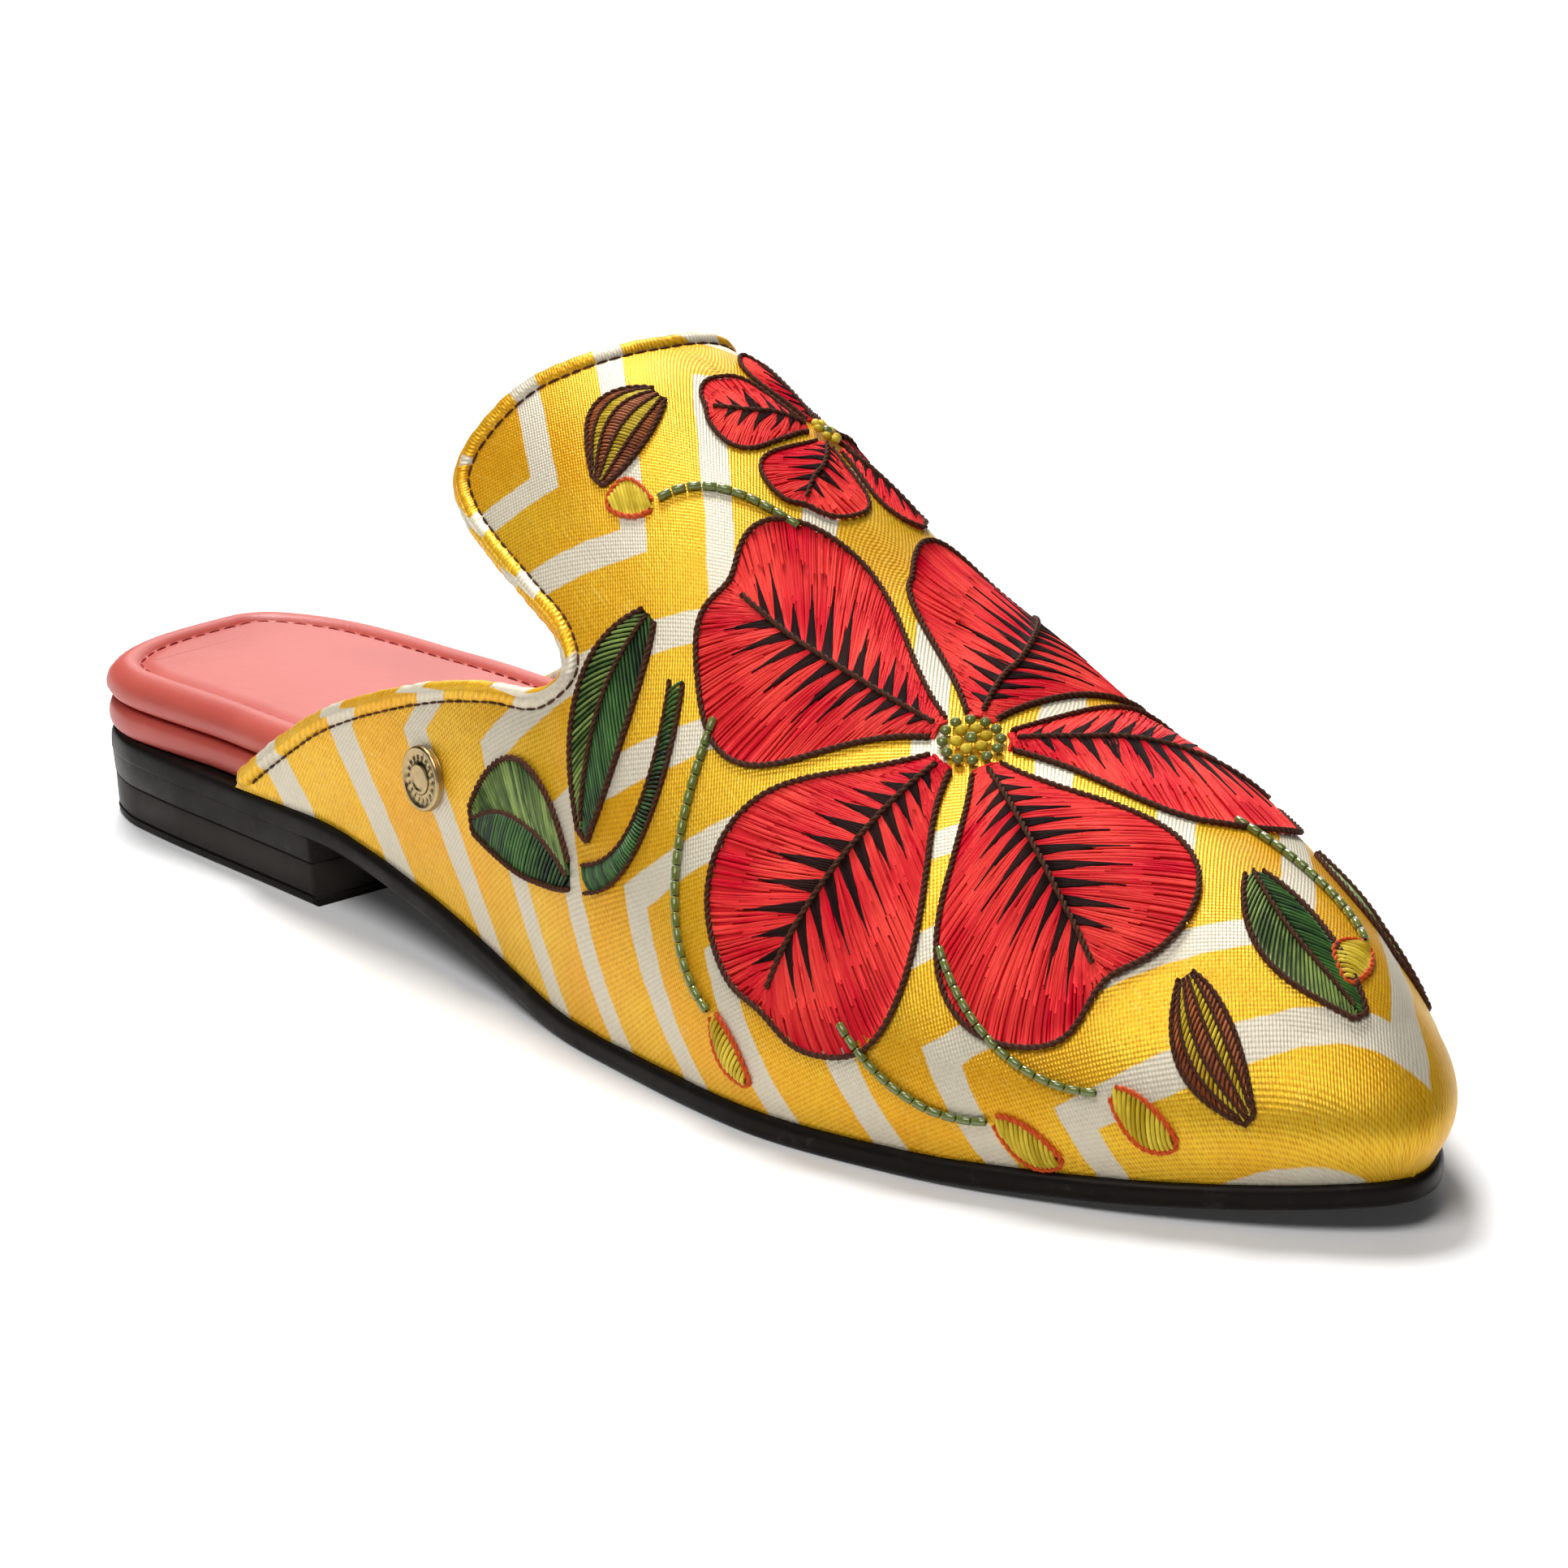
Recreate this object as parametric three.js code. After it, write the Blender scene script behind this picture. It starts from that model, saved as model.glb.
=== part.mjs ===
// Embroidered satin flat mule, right shoe: +X toe, +Y wearer's left, +Z up, floor at zero, millimetres.
import * as THREE from 'three';
import { mergeVertices } from 'three/addons/utils/BufferGeometryUtils.js';

const LENGTH = 256;          // toe end, from the last's back point
const HEEL_BACK = 10;        // back of the outsole, from the same point
const SOLE_THICK = 3.2;      // outsole
const MIDSOLE_THICK = 3.9;   // wrapped board above the outsole
const PAD_THICK = 5.6;       // padded insole
const WALL = 1.8;            // upper with its lining
const GAP = 0.3;             // clearance between curved pieces
const SEAM = 0.2;            // clearance between flat lifts
const FEATHER = 1.0;         // upper stands in from the sole edge, less at the quarter tips
const BULGE = 2.6;           // side of the upper swells past the feather line
const NOSE = 0.9;            // extra swell at the toe
const RIDGE_LEAN = 9.5;      // ridge leans to the medial side
const BEAD = 1.6;            // radius of the rolled binding
const HEEL_BREAST = 71.0;    // front of the heel at the floor
const HEEL_RISE = 10.1;      // underside of the outsole over the heel
const TOP_PIECE = 1.3;       // wearing piece of the heel
const LOWER_LIFT_TOP = 6.3;  // top of the lower lift
const THREAD = 1.0;          // thickness of the embroidery
const SEAT = 0.65;           // embroidery starts this far off the satin

const SOLE_OUTLINE = [
  { at: HEEL_BACK / LENGTH, lateral: 0.0, medial: 0.0 },
  { at: 0.043, lateral: 14.0, medial: 4.2 },
  { at: 0.053, lateral: 21.4, medial: 7.6 },
  { at: 0.072, lateral: 27.0, medial: 10.8 },
  { at: 0.105, lateral: 29.5, medial: 14.6 },
  { at: 0.156, lateral: 30.0, medial: 18.2 },
  { at: 0.211, lateral: 30.0, medial: 20.4 },
  { at: 0.320, lateral: 30.4, medial: 23.8 },
  { at: 0.440, lateral: 33.2, medial: 28.0 },
  { at: 0.560, lateral: 38.2, medial: 32.8 },
  { at: 0.680, lateral: 40.6, medial: 38.0 },
  { at: 0.780, lateral: 36.0, medial: 36.6 },
  { at: 0.870, lateral: 27.0, medial: 28.8 },
  { at: 0.940, lateral: 16.5, medial: 19.0 },
  { at: 0.982, lateral: 7.8, medial: 9.8 },
  { at: 1.000, lateral: 0.0, medial: 0.0 },
];

const SOLE_RISE = [
  { at: 0.000, bottom: HEEL_RISE },
  { at: 0.270, bottom: HEEL_RISE },
  { at: 0.380, bottom: 6.6 },
  { at: 0.540, bottom: 0.0 },
  { at: 0.740, bottom: 0.0 },
  { at: 0.870, bottom: 1.1 },
  { at: 1.000, bottom: 3.8 },
];

const UPPER_RIDGE = [
  { at: 0.280, height: 73.2 },
  { at: 0.420, height: 73.6 },
  { at: 0.500, height: 68.8 },
  { at: 0.600, height: 55.3 },
  { at: 0.700, height: 45.0 },
  { at: 0.800, height: 38.5 },
  { at: 0.900, height: 29.6 },
  { at: 0.960, height: 20.3 },
  { at: 0.988, height: 11.5 },
  { at: 1.000, height: 0.0 },
];

const TOPLINE = [
  { x: 50.4, turn: 0.0 },
  { x: 54.2, turn: 1.8 },
  { x: 61.8, turn: 5.7 },
  { x: 72.0, turn: 10.9 },
  { x: 82.2, turn: 15.6 },
  { x: 94.9, turn: 21.2 },
  { x: 111.4, turn: 27.8 },
  { x: 121.0, turn: 32.3 },
  { x: 123.6, turn: 36.0 },
  { x: 120.3, turn: 38.0 },
  { x: 112.5, turn: 38.4 },
  { x: 102.2, turn: 39.8 },
  { x: 95.2, turn: 41.8 },
  { x: 90.2, turn: 45.2 },
  { x: 89.2, turn: 49.4 },
  { x: 90.2, turn: 55.4 },
  { x: 93.6, turn: 66.4 },
  { x: 97.6, turn: 75.0 },
  { x: 101.0, turn: 85.0 },
  { x: 102.6, turn: 95.0 },
  { x: 102.2, turn: 106.0 },
  { x: 98.0, turn: 116.0 },
  { x: 96.2, turn: 125.4 },
  { x: 98.1, turn: 130.7 },
  { x: 102.5, turn: 135.2 },
  { x: 108.2, turn: 139.1 },
  { x: 114.6, turn: 141.3 },
  { x: 119.6, turn: 143.2 },
  { x: 120.6, turn: 146.3 },
  { x: 116.2, turn: 150.4 },
  { x: 108.0, turn: 154.4 },
  { x: 96.2, turn: 157.5 },
  { x: 83.0, turn: 163.7 },
  { x: 72.0, turn: 169.4 },
  { x: 62.0, turn: 174.4 },
  { x: 54.2, turn: 178.2 },
  { x: 50.4, turn: 180.0 },
];

const BLOOMS = [
  { name: 'bloom', x: 180, across: 12, heading: 20, core: 5.0, length: 39, spread: 33 },
  { name: 'blossom', x: 127, across: -8, heading: 50, core: 3.2, length: 14, spread: 32 },
];

const SPRIGS = [
  { name: 'leaf_notch', x: 133, across: 37, heading: 78, length: 25, width: 11, colour: 'leaf_green' },
  { name: 'leaf_quarter', x: 137, across: 67, heading: 158, length: 27, width: 11, colour: 'leaf_green' },
  { name: 'leaf_toe', x: 222, across: 2, heading: 6, length: 24, width: 10, colour: 'leaf_green' },
  { name: 'leaf_medial', x: 161, across: -32, heading: 250, length: 26, width: 11, colour: 'leaf_green' },
  { name: 'leaf_inner_toe', x: 218, across: -15, heading: 336, length: 21, width: 9, colour: 'leaf_green' },
  { name: 'bud_tongue', x: 113, across: 11, heading: 84, length: 20, width: 10, colour: 'bud_rust' },
  { name: 'bud_toe', x: 227, across: 19, heading: 18, length: 15, width: 8, colour: 'bud_rust' },
  { name: 'bud_medial', x: 119, across: -33, heading: 290, length: 15, width: 9, colour: 'bud_rust' },
];

const STEMS = [
  { name: 'stem_lateral', x0: 140, across0: 65, x1: 154, across1: 54, x2: 142, across2: 38 },
];
const STEM_WIDTH = 2.2;

const SOLE_EDGE = [
  { inset: 1.3, rise: 0.00 },
  { inset: 0.2, rise: 0.30 },
  { inset: 0.0, rise: 0.55 },
  { inset: 0.5, rise: 1.00 },
];

const PAD_EDGE = [
  { inset: 1.4, rise: 0.00 },
  { inset: 0.1, rise: 0.30 },
  { inset: 0.2, rise: 0.65 },
  { inset: 1.5, rise: 0.96 },
  { inset: 3.2, rise: 1.00 },
  { inset: 4.6, rise: 0.90 },
  { inset: 6.4, rise: 0.94 },
];

const RIVET_PROFILE = [
  { radius: 0.0, rise: 0.0 },
  { radius: 4.6, rise: 0.0 },
  { radius: 4.6, rise: 0.85 },
  { radius: 4.15, rise: 1.3 },
  { radius: 3.45, rise: 1.3 },
  { radius: 3.1, rise: 0.85 },
  { radius: 2.15, rise: 0.85 },
  { radius: 1.8, rise: 1.2 },
  { radius: 0.0, rise: 1.4 },
];
const RIVET_PLACE = { x: 100, turn: 12.3 };

const COLOURS = {
  satin: 0xf0b030, rubber: 0x17171a, lift: 0x2a2a2d, coral: 0xee7570, brass: 0xb89a62,
  petal_red: 0xd21f26, leaf_green: 0x2f6b30, bud_rust: 0xa8531f, bead_olive: 0x6f8a46,
};

const clamp = (v, lo = 0, hi = 1) => Math.min(hi, Math.max(lo, v));
const ease = (v) => clamp(v) ** 2 * (3 - 2 * clamp(v));
const rad = (degrees) => degrees * Math.PI / 180;

// shape preserving cubic through one column of a table
function curveOf(rows, column, change = (v) => v) {
  const xs = rows.map((r) => r.at);
  const ys = rows.map((r) => change(r[column]));
  const n = xs.length - 1;
  const h = xs.slice(1).map((x, i) => x - xs[i]);
  const d = h.map((w, i) => (ys[i + 1] - ys[i]) / w);
  const end = (h0, h1, d0, d1) => {
    const m = ((2 * h0 + h1) * d0 - h0 * d1) / (h0 + h1);
    if (m * d0 <= 0) return 0;
    return d0 * d1 <= 0 && Math.abs(m) > 3 * Math.abs(d0) ? 3 * d0 : m;
  };
  const slope = xs.map((_, i) => {
    if (i === 0) return end(h[0], h[1], d[0], d[1]);
    if (i === n) return end(h[n - 1], h[n - 2], d[n - 1], d[n - 2]);
    if (d[i - 1] * d[i] <= 0) return 0;
    const a = 2 * h[i] + h[i - 1];
    const b = h[i] + 2 * h[i - 1];
    return (a + b) / (a / d[i - 1] + b / d[i]);
  });
  return (at) => {
    const t = clamp(at, xs[0], xs[n]);
    let i = 0;
    while (i < n - 1 && t > xs[i + 1]) i += 1;
    const s = (t - xs[i]) / h[i];
    const a = (1 + 2 * s) * (1 - s) ** 2 * ys[i] + s * (1 - s) ** 2 * h[i] * slope[i];
    return a + s * s * (3 - 2 * s) * ys[i + 1] + s * s * (s - 1) * h[i] * slope[i + 1];
  };
}

const square = (v) => v * v;
const lateralSquared = curveOf(SOLE_OUTLINE, 'lateral', square);
const medialSquared = curveOf(SOLE_OUTLINE, 'medial', square);
const ridgeSquared = curveOf(UPPER_RIDGE, 'height', square);
const bottomRise = curveOf(SOLE_RISE, 'bottom');

const halfWidth = (x, side) => Math.sqrt(Math.max(0, (side < 0 ? lateralSquared : medialSquared)(x / LENGTH)));
const ridgeHeight = (x) => Math.sqrt(Math.max(0, ridgeSquared(x / LENGTH)));
const centreLine = (x) => 2.8 * clamp((x / LENGTH - 0.35) / 0.65) ** 2;
const soleBottom = (x) => bottomRise(x / LENGTH);
const bed = (x) => soleBottom(x) + SOLE_THICK;
const feather = (x) => FEATHER * ease((x - 48) / 30);
const outlineX = (theta) => HEEL_BACK + (LENGTH - HEEL_BACK) * (1 - Math.cos(theta)) / 2;

// outer face of the upper; the turn runs from the lateral feather line over the ridge to the medial one
function upperPoint(x, turn) {
  const t = x / LENGTH;
  const c = Math.cos(turn);
  const s = Math.sin(turn);
  const side = c > 0 ? -1 : 1;
  const flat = Math.abs(c);
  const h = ridgeHeight(x);
  const k = clamp((t - 0.42) / 0.5);
  const rise = h * Math.abs(s) ** (0.92 + 0.11 * k);
  const before = clamp(x - 0.3, 0, LENGTH);
  const after = clamp(x + 0.3, 0, LENGTH);
  const taper = (halfWidth(after, side) - halfWidth(before, side)) / (after - before);
  const nose = clamp((t - 0.9) / 0.1) ** 2;
  const swell = (BULGE + NOSE * nose) * Math.sin(Math.PI * clamp(rise / Math.max(0.78 * h, 18))) - feather(x);
  const lean = RIDGE_LEAN * Math.sqrt(clamp((1 - t) / 0.25)) * s * s;
  const across = halfWidth(x, side) * flat ** (0.71 + 0.22 * k) + swell * flat / Math.hypot(1, taper);
  return new THREE.Vector3(
    x - swell * (flat + (1 - flat) * nose) * taper / Math.hypot(1, taper),
    centreLine(x) + lean + side * across,
    bed(x) + GAP + rise,
  );
}

function upperNormal(x, turn) {
  const x0 = clamp(x - 0.6, 2, LENGTH - 0.01);
  const x1 = clamp(x + 0.6, 2, LENGTH - 0.01);
  const t0 = clamp(turn - 0.015, 0.001, Math.PI - 0.001);
  const t1 = clamp(turn + 0.015, 0.001, Math.PI - 0.001);
  const inside = clamp(x, 2, LENGTH - 0.3);
  const alongX = upperPoint(x1, turn).sub(upperPoint(x0, turn));
  const alongTurn = upperPoint(inside, t1).sub(upperPoint(inside, t0));
  return alongX.cross(alongTurn).normalize();
}

const offUpper = (x, turn, off) => upperPoint(x, turn).addScaledVector(upperNormal(x, turn), off);

// one closed solid from points and triangles
function solid(name, colour, points, faces, extra = {}) {
  const raw = new THREE.BufferGeometry();
  raw.setAttribute('position', new THREE.Float32BufferAttribute(points.flatMap((p) => [p.x, p.y, p.z]), 3));
  raw.setIndex(faces.flat());
  const geometry = mergeVertices(raw, 2e-3);
  const index = [...geometry.index.array];
  const kept = [];
  for (let i = 0; i < index.length; i += 3) {
    const [a, b, c] = index.slice(i, i + 3);
    if (a !== b && b !== c && c !== a) kept.push(a, b, c);
  }
  geometry.setIndex(kept);
  geometry.computeVertexNormals();
  const material = new THREE.MeshStandardMaterial({ color: COLOURS[colour], roughness: 0.6, ...extra });
  material.name = colour;
  const mesh = new THREE.Mesh(geometry, material);
  mesh.name = name;
  return mesh;
}

const quad = (a, b, c, d) => [[a, b, c], [a, c, d]];

// a point of the sole outline, moved inwards along its own normal
function outlinePoint(theta, side, inset) {
  const at = (q) => {
    const x = outlineX(q);
    return new THREE.Vector2(x, centreLine(x) + side * halfWidth(x, side));
  };
  const step = 1e-3;
  const run = at(Math.min(theta + step, Math.PI)).sub(at(Math.max(theta - step, 0))).normalize();
  const pole = theta < 1e-9 || theta > Math.PI - 1e-9;
  const normal = pole ? new THREE.Vector2(theta < 1 ? -1 : 1, 0) : new THREE.Vector2(run.y, -run.x).multiplyScalar(-side);
  return at(theta).addScaledVector(normal, -inset);
}

// rings of the outline joined into a plate; each ring has an inset and a height
function plate(name, colour, thetas, rings, breast = null) {
  const points = [];
  const faces = [];
  const stride = thetas.length * 2;
  rings.forEach((ring) => thetas.forEach((theta, i) => [-1, 1].forEach((side) => {
    const x = outlineX(theta);
    const p = outlinePoint(theta, side, ring.inset(x));
    const cut = breast !== null && i === thetas.length - 1;
    points.push(new THREE.Vector3(cut ? breast(ring.height(x)) : p.x, p.y, ring.height(x)));
  })));
  const id = (r, i, s) => r * stride + i * 2 + s;
  const last = thetas.length - 1;
  for (let r = 0; r < rings.length - 1; r += 1) {
    for (let i = 0; i < last; i += 1) {
      faces.push(...quad(id(r, i, 0), id(r, i + 1, 0), id(r + 1, i + 1, 0), id(r + 1, i, 0)));
      faces.push(...quad(id(r, i + 1, 1), id(r, i, 1), id(r + 1, i, 1), id(r + 1, i + 1, 1)));
    }
    faces.push(...quad(id(r, last, 0), id(r, last, 1), id(r + 1, last, 1), id(r + 1, last, 0)));
  }
  const top = rings.length - 1;
  for (let i = 0; i < last; i += 1) {
    faces.push(...quad(id(0, i, 0), id(0, i, 1), id(0, i + 1, 1), id(0, i + 1, 0)));
    faces.push(...quad(id(top, i, 0), id(top, i + 1, 0), id(top, i + 1, 1), id(top, i, 1)));
  }
  return solid(name, colour, points, faces);
}

const steps = (n, lo = 0, hi = 1) => Array.from({ length: n + 1 }, (_, i) => lo + (hi - lo) * i / n);

function outsole() {
  const rings = SOLE_EDGE.map((row) => ({
    inset: () => row.inset,
    height: (x) => soleBottom(x) + row.rise * SOLE_THICK,
  }));
  return plate('outsole', 'rubber', steps(38, 0, Math.PI), rings);
}

function heelLayer(name, colour, low, high, insetLow, insetHigh) {
  const breastTheta = Math.acos(1 - 2 * (HEEL_BREAST - HEEL_BACK) / (LENGTH - HEEL_BACK));
  const edge = 0.45;
  const rings = [
    { inset: insetLow + edge, height: low },
    { inset: insetLow, height: low + edge },
    { inset: insetHigh, height: high - edge },
    { inset: insetHigh + edge, height: high },
  ].map((row) => ({ inset: () => row.inset, height: () => row.height }));
  const breast = (z) => HEEL_BREAST - 0.09 * z;
  return plate(name, colour, steps(12, 0, breastTheta), rings, breast);
}

// board edge is flush round the heel and draws in where the upper wraps it
const boardInset = (x) => 2.3 * ease((x - 18) / 30) + 1.4 * ease((x - 52) / 26) - 0.1;

function midsole() {
  const base = (x) => bed(x) + GAP;
  const rings = [
    { inset: 0.5, height: 0 },
    { inset: 0, height: 0.6 },
    { inset: 0, height: MIDSOLE_THICK - 0.6 },
    { inset: 0.5, height: MIDSOLE_THICK },
  ].map((row) => ({ inset: (x) => boardInset(x) + row.inset, height: (x) => base(x) + row.height }));
  return plate('midsole', 'coral', steps(34, 0, Math.PI), rings);
}

function insole() {
  const base = (x) => bed(x) + 2 * GAP + MIDSOLE_THICK;
  const narrow = (x) => 1 - 0.75 * ease((x / LENGTH - 0.72) / 0.2);
  const rings = PAD_EDGE.map((row) => ({
    inset: (x) => boardInset(x) - 0.3 + row.inset * narrow(x),
    height: (x) => base(x) + row.rise * PAD_THICK,
  }));
  return plate('insole', 'coral', steps(27, 0, Math.PI), rings);
}

// the topline moved into the material by a distance, as x and turn
function toplineAt(inward) {
  const scale = 0.85;
  const knots = TOPLINE.map((r) => new THREE.Vector3(r.x, r.turn * scale, 0));
  const path = new THREE.CatmullRomCurve3(knots, false, 'centripetal');
  const samples = path.getSpacedPoints(700).map((p) => ({ x: p.x, turn: clamp(rad(p.y / scale), 0, Math.PI) }));
  const moved = samples.map((q, i) => {
    const a = samples[Math.max(i - 2, 0)];
    const b = samples[Math.min(i + 2, samples.length - 1)];
    const run = upperPoint(b.x, b.turn).sub(upperPoint(a.x, a.turn)).normalize();
    const inwards = run.cross(upperNormal(q.x, clamp(q.turn, 0.01, 3.13))).multiplyScalar(inward);
    const dx = upperPoint(q.x + 0.5, q.turn).sub(upperPoint(q.x - 0.5, q.turn));
    const mid = clamp(q.turn, 0.02, Math.PI - 0.02);
    const dt = upperPoint(q.x, mid + 0.01).sub(upperPoint(q.x, mid - 0.01)).multiplyScalar(50);
    const xx = dx.dot(dx);
    const xt = dx.dot(dt);
    const tt = dt.dot(dt);
    const det = xx * tt - xt * xt;
    const u = (tt * dx.dot(inwards) - xt * dt.dot(inwards)) / det;
    const v = (xx * dt.dot(inwards) - xt * dx.dot(inwards)) / det;
    return { x: q.x + u, turn: q.turn + v };
  });
  const kept = moved.filter((q) => q.turn >= 0 && q.turn <= Math.PI);
  kept[0].turn = 0;
  kept[kept.length - 1].turn = Math.PI;
  return kept;
}

// evenly spread choice of points, closer together where the line bends
function spread(list, count, place) {
  const p = list.map(place);
  let sum = 0;
  const weight = p.map((q, i) => {
    if (i === 0) return 0;
    const a = p[Math.max(i - 4, 0)];
    const b = p[Math.min(i + 4, p.length - 1)];
    const bend = q.clone().sub(a).angleTo(b.clone().sub(q)) || 0;
    sum += q.distanceTo(p[i - 1]) * (1 + 3 * bend);
    return sum;
  });
  let j = 0;
  return steps(count).map((f) => {
    while (j < list.length - 1 && weight[j] < f * sum - 1e-9) j += 1;
    return list[j];
  });
}

function upper(columns, rows) {
  const edge = spread(toplineAt(2 * BEAD + GAP), columns, (q) => upperPoint(q.x, q.turn));
  const points = [];
  const faces = [];
  const place = (i, j, off) => {
    const s = i / rows;
    const turn = edge[j].turn + (Math.PI * j / columns - edge[j].turn) * ease(s);
    const x = edge[j].x + (LENGTH - edge[j].x) * Math.sin(s * Math.PI / 2);
    return i === rows ? offUpper(LENGTH - 0.02, Math.PI / 2, off) : offUpper(x, turn, off);
  };
  [0, -WALL].forEach((off) => {
    for (let i = 0; i <= rows; i += 1) {
      for (let j = 0; j <= columns; j += 1) {
        const p = place(i, j, off);
        if (i < rows && (j === 0 || j === columns)) p.z = bed(p.x) + GAP + 0.1;
        if (i === rows) p.z = bed(LENGTH) + GAP;
        points.push(p);
      }
    }
  });
  const id = (k, i, j) => (k * (rows + 1) + i) * (columns + 1) + j;
  for (let i = 0; i < rows; i += 1) {
    for (let j = 0; j < columns; j += 1) {
      faces.push(...quad(id(0, i, j), id(0, i + 1, j), id(0, i + 1, j + 1), id(0, i, j + 1)));
      faces.push(...quad(id(1, i, j), id(1, i, j + 1), id(1, i + 1, j + 1), id(1, i + 1, j)));
    }
    faces.push(...quad(id(0, i, 0), id(1, i, 0), id(1, i + 1, 0), id(0, i + 1, 0)));
    faces.push(...quad(id(0, i, columns), id(0, i + 1, columns), id(1, i + 1, columns), id(1, i, columns)));
  }
  for (let j = 0; j < columns; j += 1) {
    faces.push(...quad(id(0, 0, j), id(0, 0, j + 1), id(1, 0, j + 1), id(1, 0, j)));
  }
  return solid('upper', 'satin', points, faces);
}

// a tube with a closed section along a list of places
function tube(name, colour, places, sides) {
  const points = [];
  const faces = [];
  places.forEach((p) => steps(sides).slice(0, sides).forEach((f) => {
    const a = 2 * Math.PI * f;
    points.push(p.centre.clone().addScaledVector(p.out, p.radius * Math.cos(a)).addScaledVector(p.along, p.radius * Math.sin(a)));
  }));
  const id = (i, j) => i * sides + (j % sides);
  for (let i = 0; i < places.length - 1; i += 1) {
    for (let j = 0; j < sides; j += 1) {
      faces.push(...quad(id(i, j), id(i, j + 1), id(i + 1, j + 1), id(i + 1, j)));
    }
  }
  for (let j = 1; j < sides - 1; j += 1) {
    faces.push([id(0, 0), id(0, j + 1), id(0, j)]);
    faces.push([id(places.length - 1, 0), id(places.length - 1, j), id(places.length - 1, j + 1)]);
  }
  return solid(name, colour, points, faces);
}

function binding(sections, sides) {
  const line = toplineAt(BEAD).map((q) => ({ ...q, centre: offUpper(q.x, q.turn, -0.6) }))
    .filter((q) => q.centre.z > bed(q.centre.x) + GAP + BEAD + 0.1);
  const chosen = spread(line, sections, (q) => q.centre);
  const places = chosen.map((q, i) => {
    const a = chosen[Math.max(i - 1, 0)].centre;
    const b = chosen[Math.min(i + 1, sections)].centre;
    const run = b.clone().sub(a).normalize();
    const out = upperNormal(q.x, q.turn);
    out.addScaledVector(run, -out.dot(run)).normalize();
    return { centre: q.centre, out, along: run.clone().cross(out), radius: BEAD };
  });
  return tube('topline_binding', 'satin', places, sides);
}

function rivet() {
  const profile = RIVET_PROFILE.map((r) => new THREE.Vector2(r.radius, r.rise));
  const lathe = new THREE.LatheGeometry(profile, 18);
  const turn = rad(RIVET_PLACE.turn);
  const out = upperNormal(RIVET_PLACE.x, turn);
  const stand = new THREE.Quaternion().setFromUnitVectors(new THREE.Vector3(0, 1, 0), out);
  lathe.applyQuaternion(stand);
  const seat = offUpper(RIVET_PLACE.x, turn, GAP + 0.1);
  lathe.translate(seat.x, seat.y, seat.z);
  const at = lathe.attributes.position;
  const points = Array.from({ length: at.count }, (_, i) => new THREE.Vector3(at.getX(i), at.getY(i), at.getZ(i)));
  const index = [...lathe.index.array];
  const faces = index.filter((_, i) => i % 3 === 0).map((_, i) => index.slice(3 * i, 3 * i + 3));
  return solid('rivet', 'brass', points, faces, { metalness: 0.9, roughness: 0.35 });
}

// place on the vamp: x along the shoe, across measured from the ridge, lateral positive
function vamp(x, across) {
  const side = across > 0 ? -1 : 1;
  const reach = Math.sqrt((halfWidth(x, side) ** 2 + ridgeHeight(x) ** 2) / 2);
  return { x, turn: Math.PI / 2 - across / reach };
}

// padded patch lying on the upper, cut between two offsets of its outer face
function patch(name, colour, n, m, spot, height) {
  const points = [];
  const faces = [];
  [0, 1].forEach((layer) => {
    for (let i = 0; i <= n; i += 1) {
      for (let j = 0; j <= m; j += 1) {
        const v = Math.sin(Math.PI * (j / m - 0.5));
        const [x, across] = spot(i / n, v);
        const q = vamp(x, across);
        points.push(offUpper(q.x, q.turn, SEAT + layer * height(i / n, v)));
      }
    }
  });
  const id = (k, i, j) => (k * (n + 1) + i) * (m + 1) + j;
  const turnOver = (f) => f.map(([a, b, c]) => [a, c, b]);
  for (let i = 0; i < n; i += 1) {
    for (let j = 0; j < m; j += 1) {
      faces.push(...quad(id(1, i, j), id(1, i, j + 1), id(1, i + 1, j + 1), id(1, i + 1, j)));
      faces.push(...turnOver(quad(id(0, i, j), id(0, i, j + 1), id(0, i + 1, j + 1), id(0, i + 1, j))));
    }
    faces.push(...quad(id(0, i, 0), id(1, i, 0), id(1, i + 1, 0), id(0, i + 1, 0)));
    faces.push(...quad(id(0, i + 1, m), id(1, i + 1, m), id(1, i, m), id(0, i, m)));
  }
  for (let j = 0; j < m; j += 1) {
    faces.push(...quad(id(0, 0, j + 1), id(1, 0, j + 1), id(1, 0, j), id(0, 0, j)));
    faces.push(...quad(id(0, n, j), id(1, n, j), id(1, n, j + 1), id(0, n, j + 1)));
  }
  return solid(name, colour, points, faces);
}

// broad petal with a rounded, lightly notched end that keeps inside its fifth of the flower
function petal(bloom, k) {
  const reach = (v) => (0.56 + 0.44 * Math.sqrt(1 - Math.abs(v) ** 2.6)) * (1 - 0.06 * Math.exp(-((v / 0.2) ** 2)));
  const spot = (u, v) => {
    const heading = rad(bloom.heading + 72 * k + v * bloom.spread * (0.62 + 0.38 * Math.sin(u * Math.PI / 2)));
    const r = bloom.core + u * bloom.length * reach(v);
    return [bloom.x + r * Math.cos(heading), bloom.across + r * Math.sin(heading)];
  };
  const height = (u, v) => THREAD * (0.45 + 0.55 * (1 - v * v) * Math.sin(Math.PI * clamp(0.15 + 0.75 * u)));
  const n = bloom.length > 30 ? 8 : 4;
  const m = bloom.length > 30 ? 8 : 6;
  return patch(`${bloom.name}_petal_${k + 1}`, 'petal_red', n, m, spot, height);
}

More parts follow.
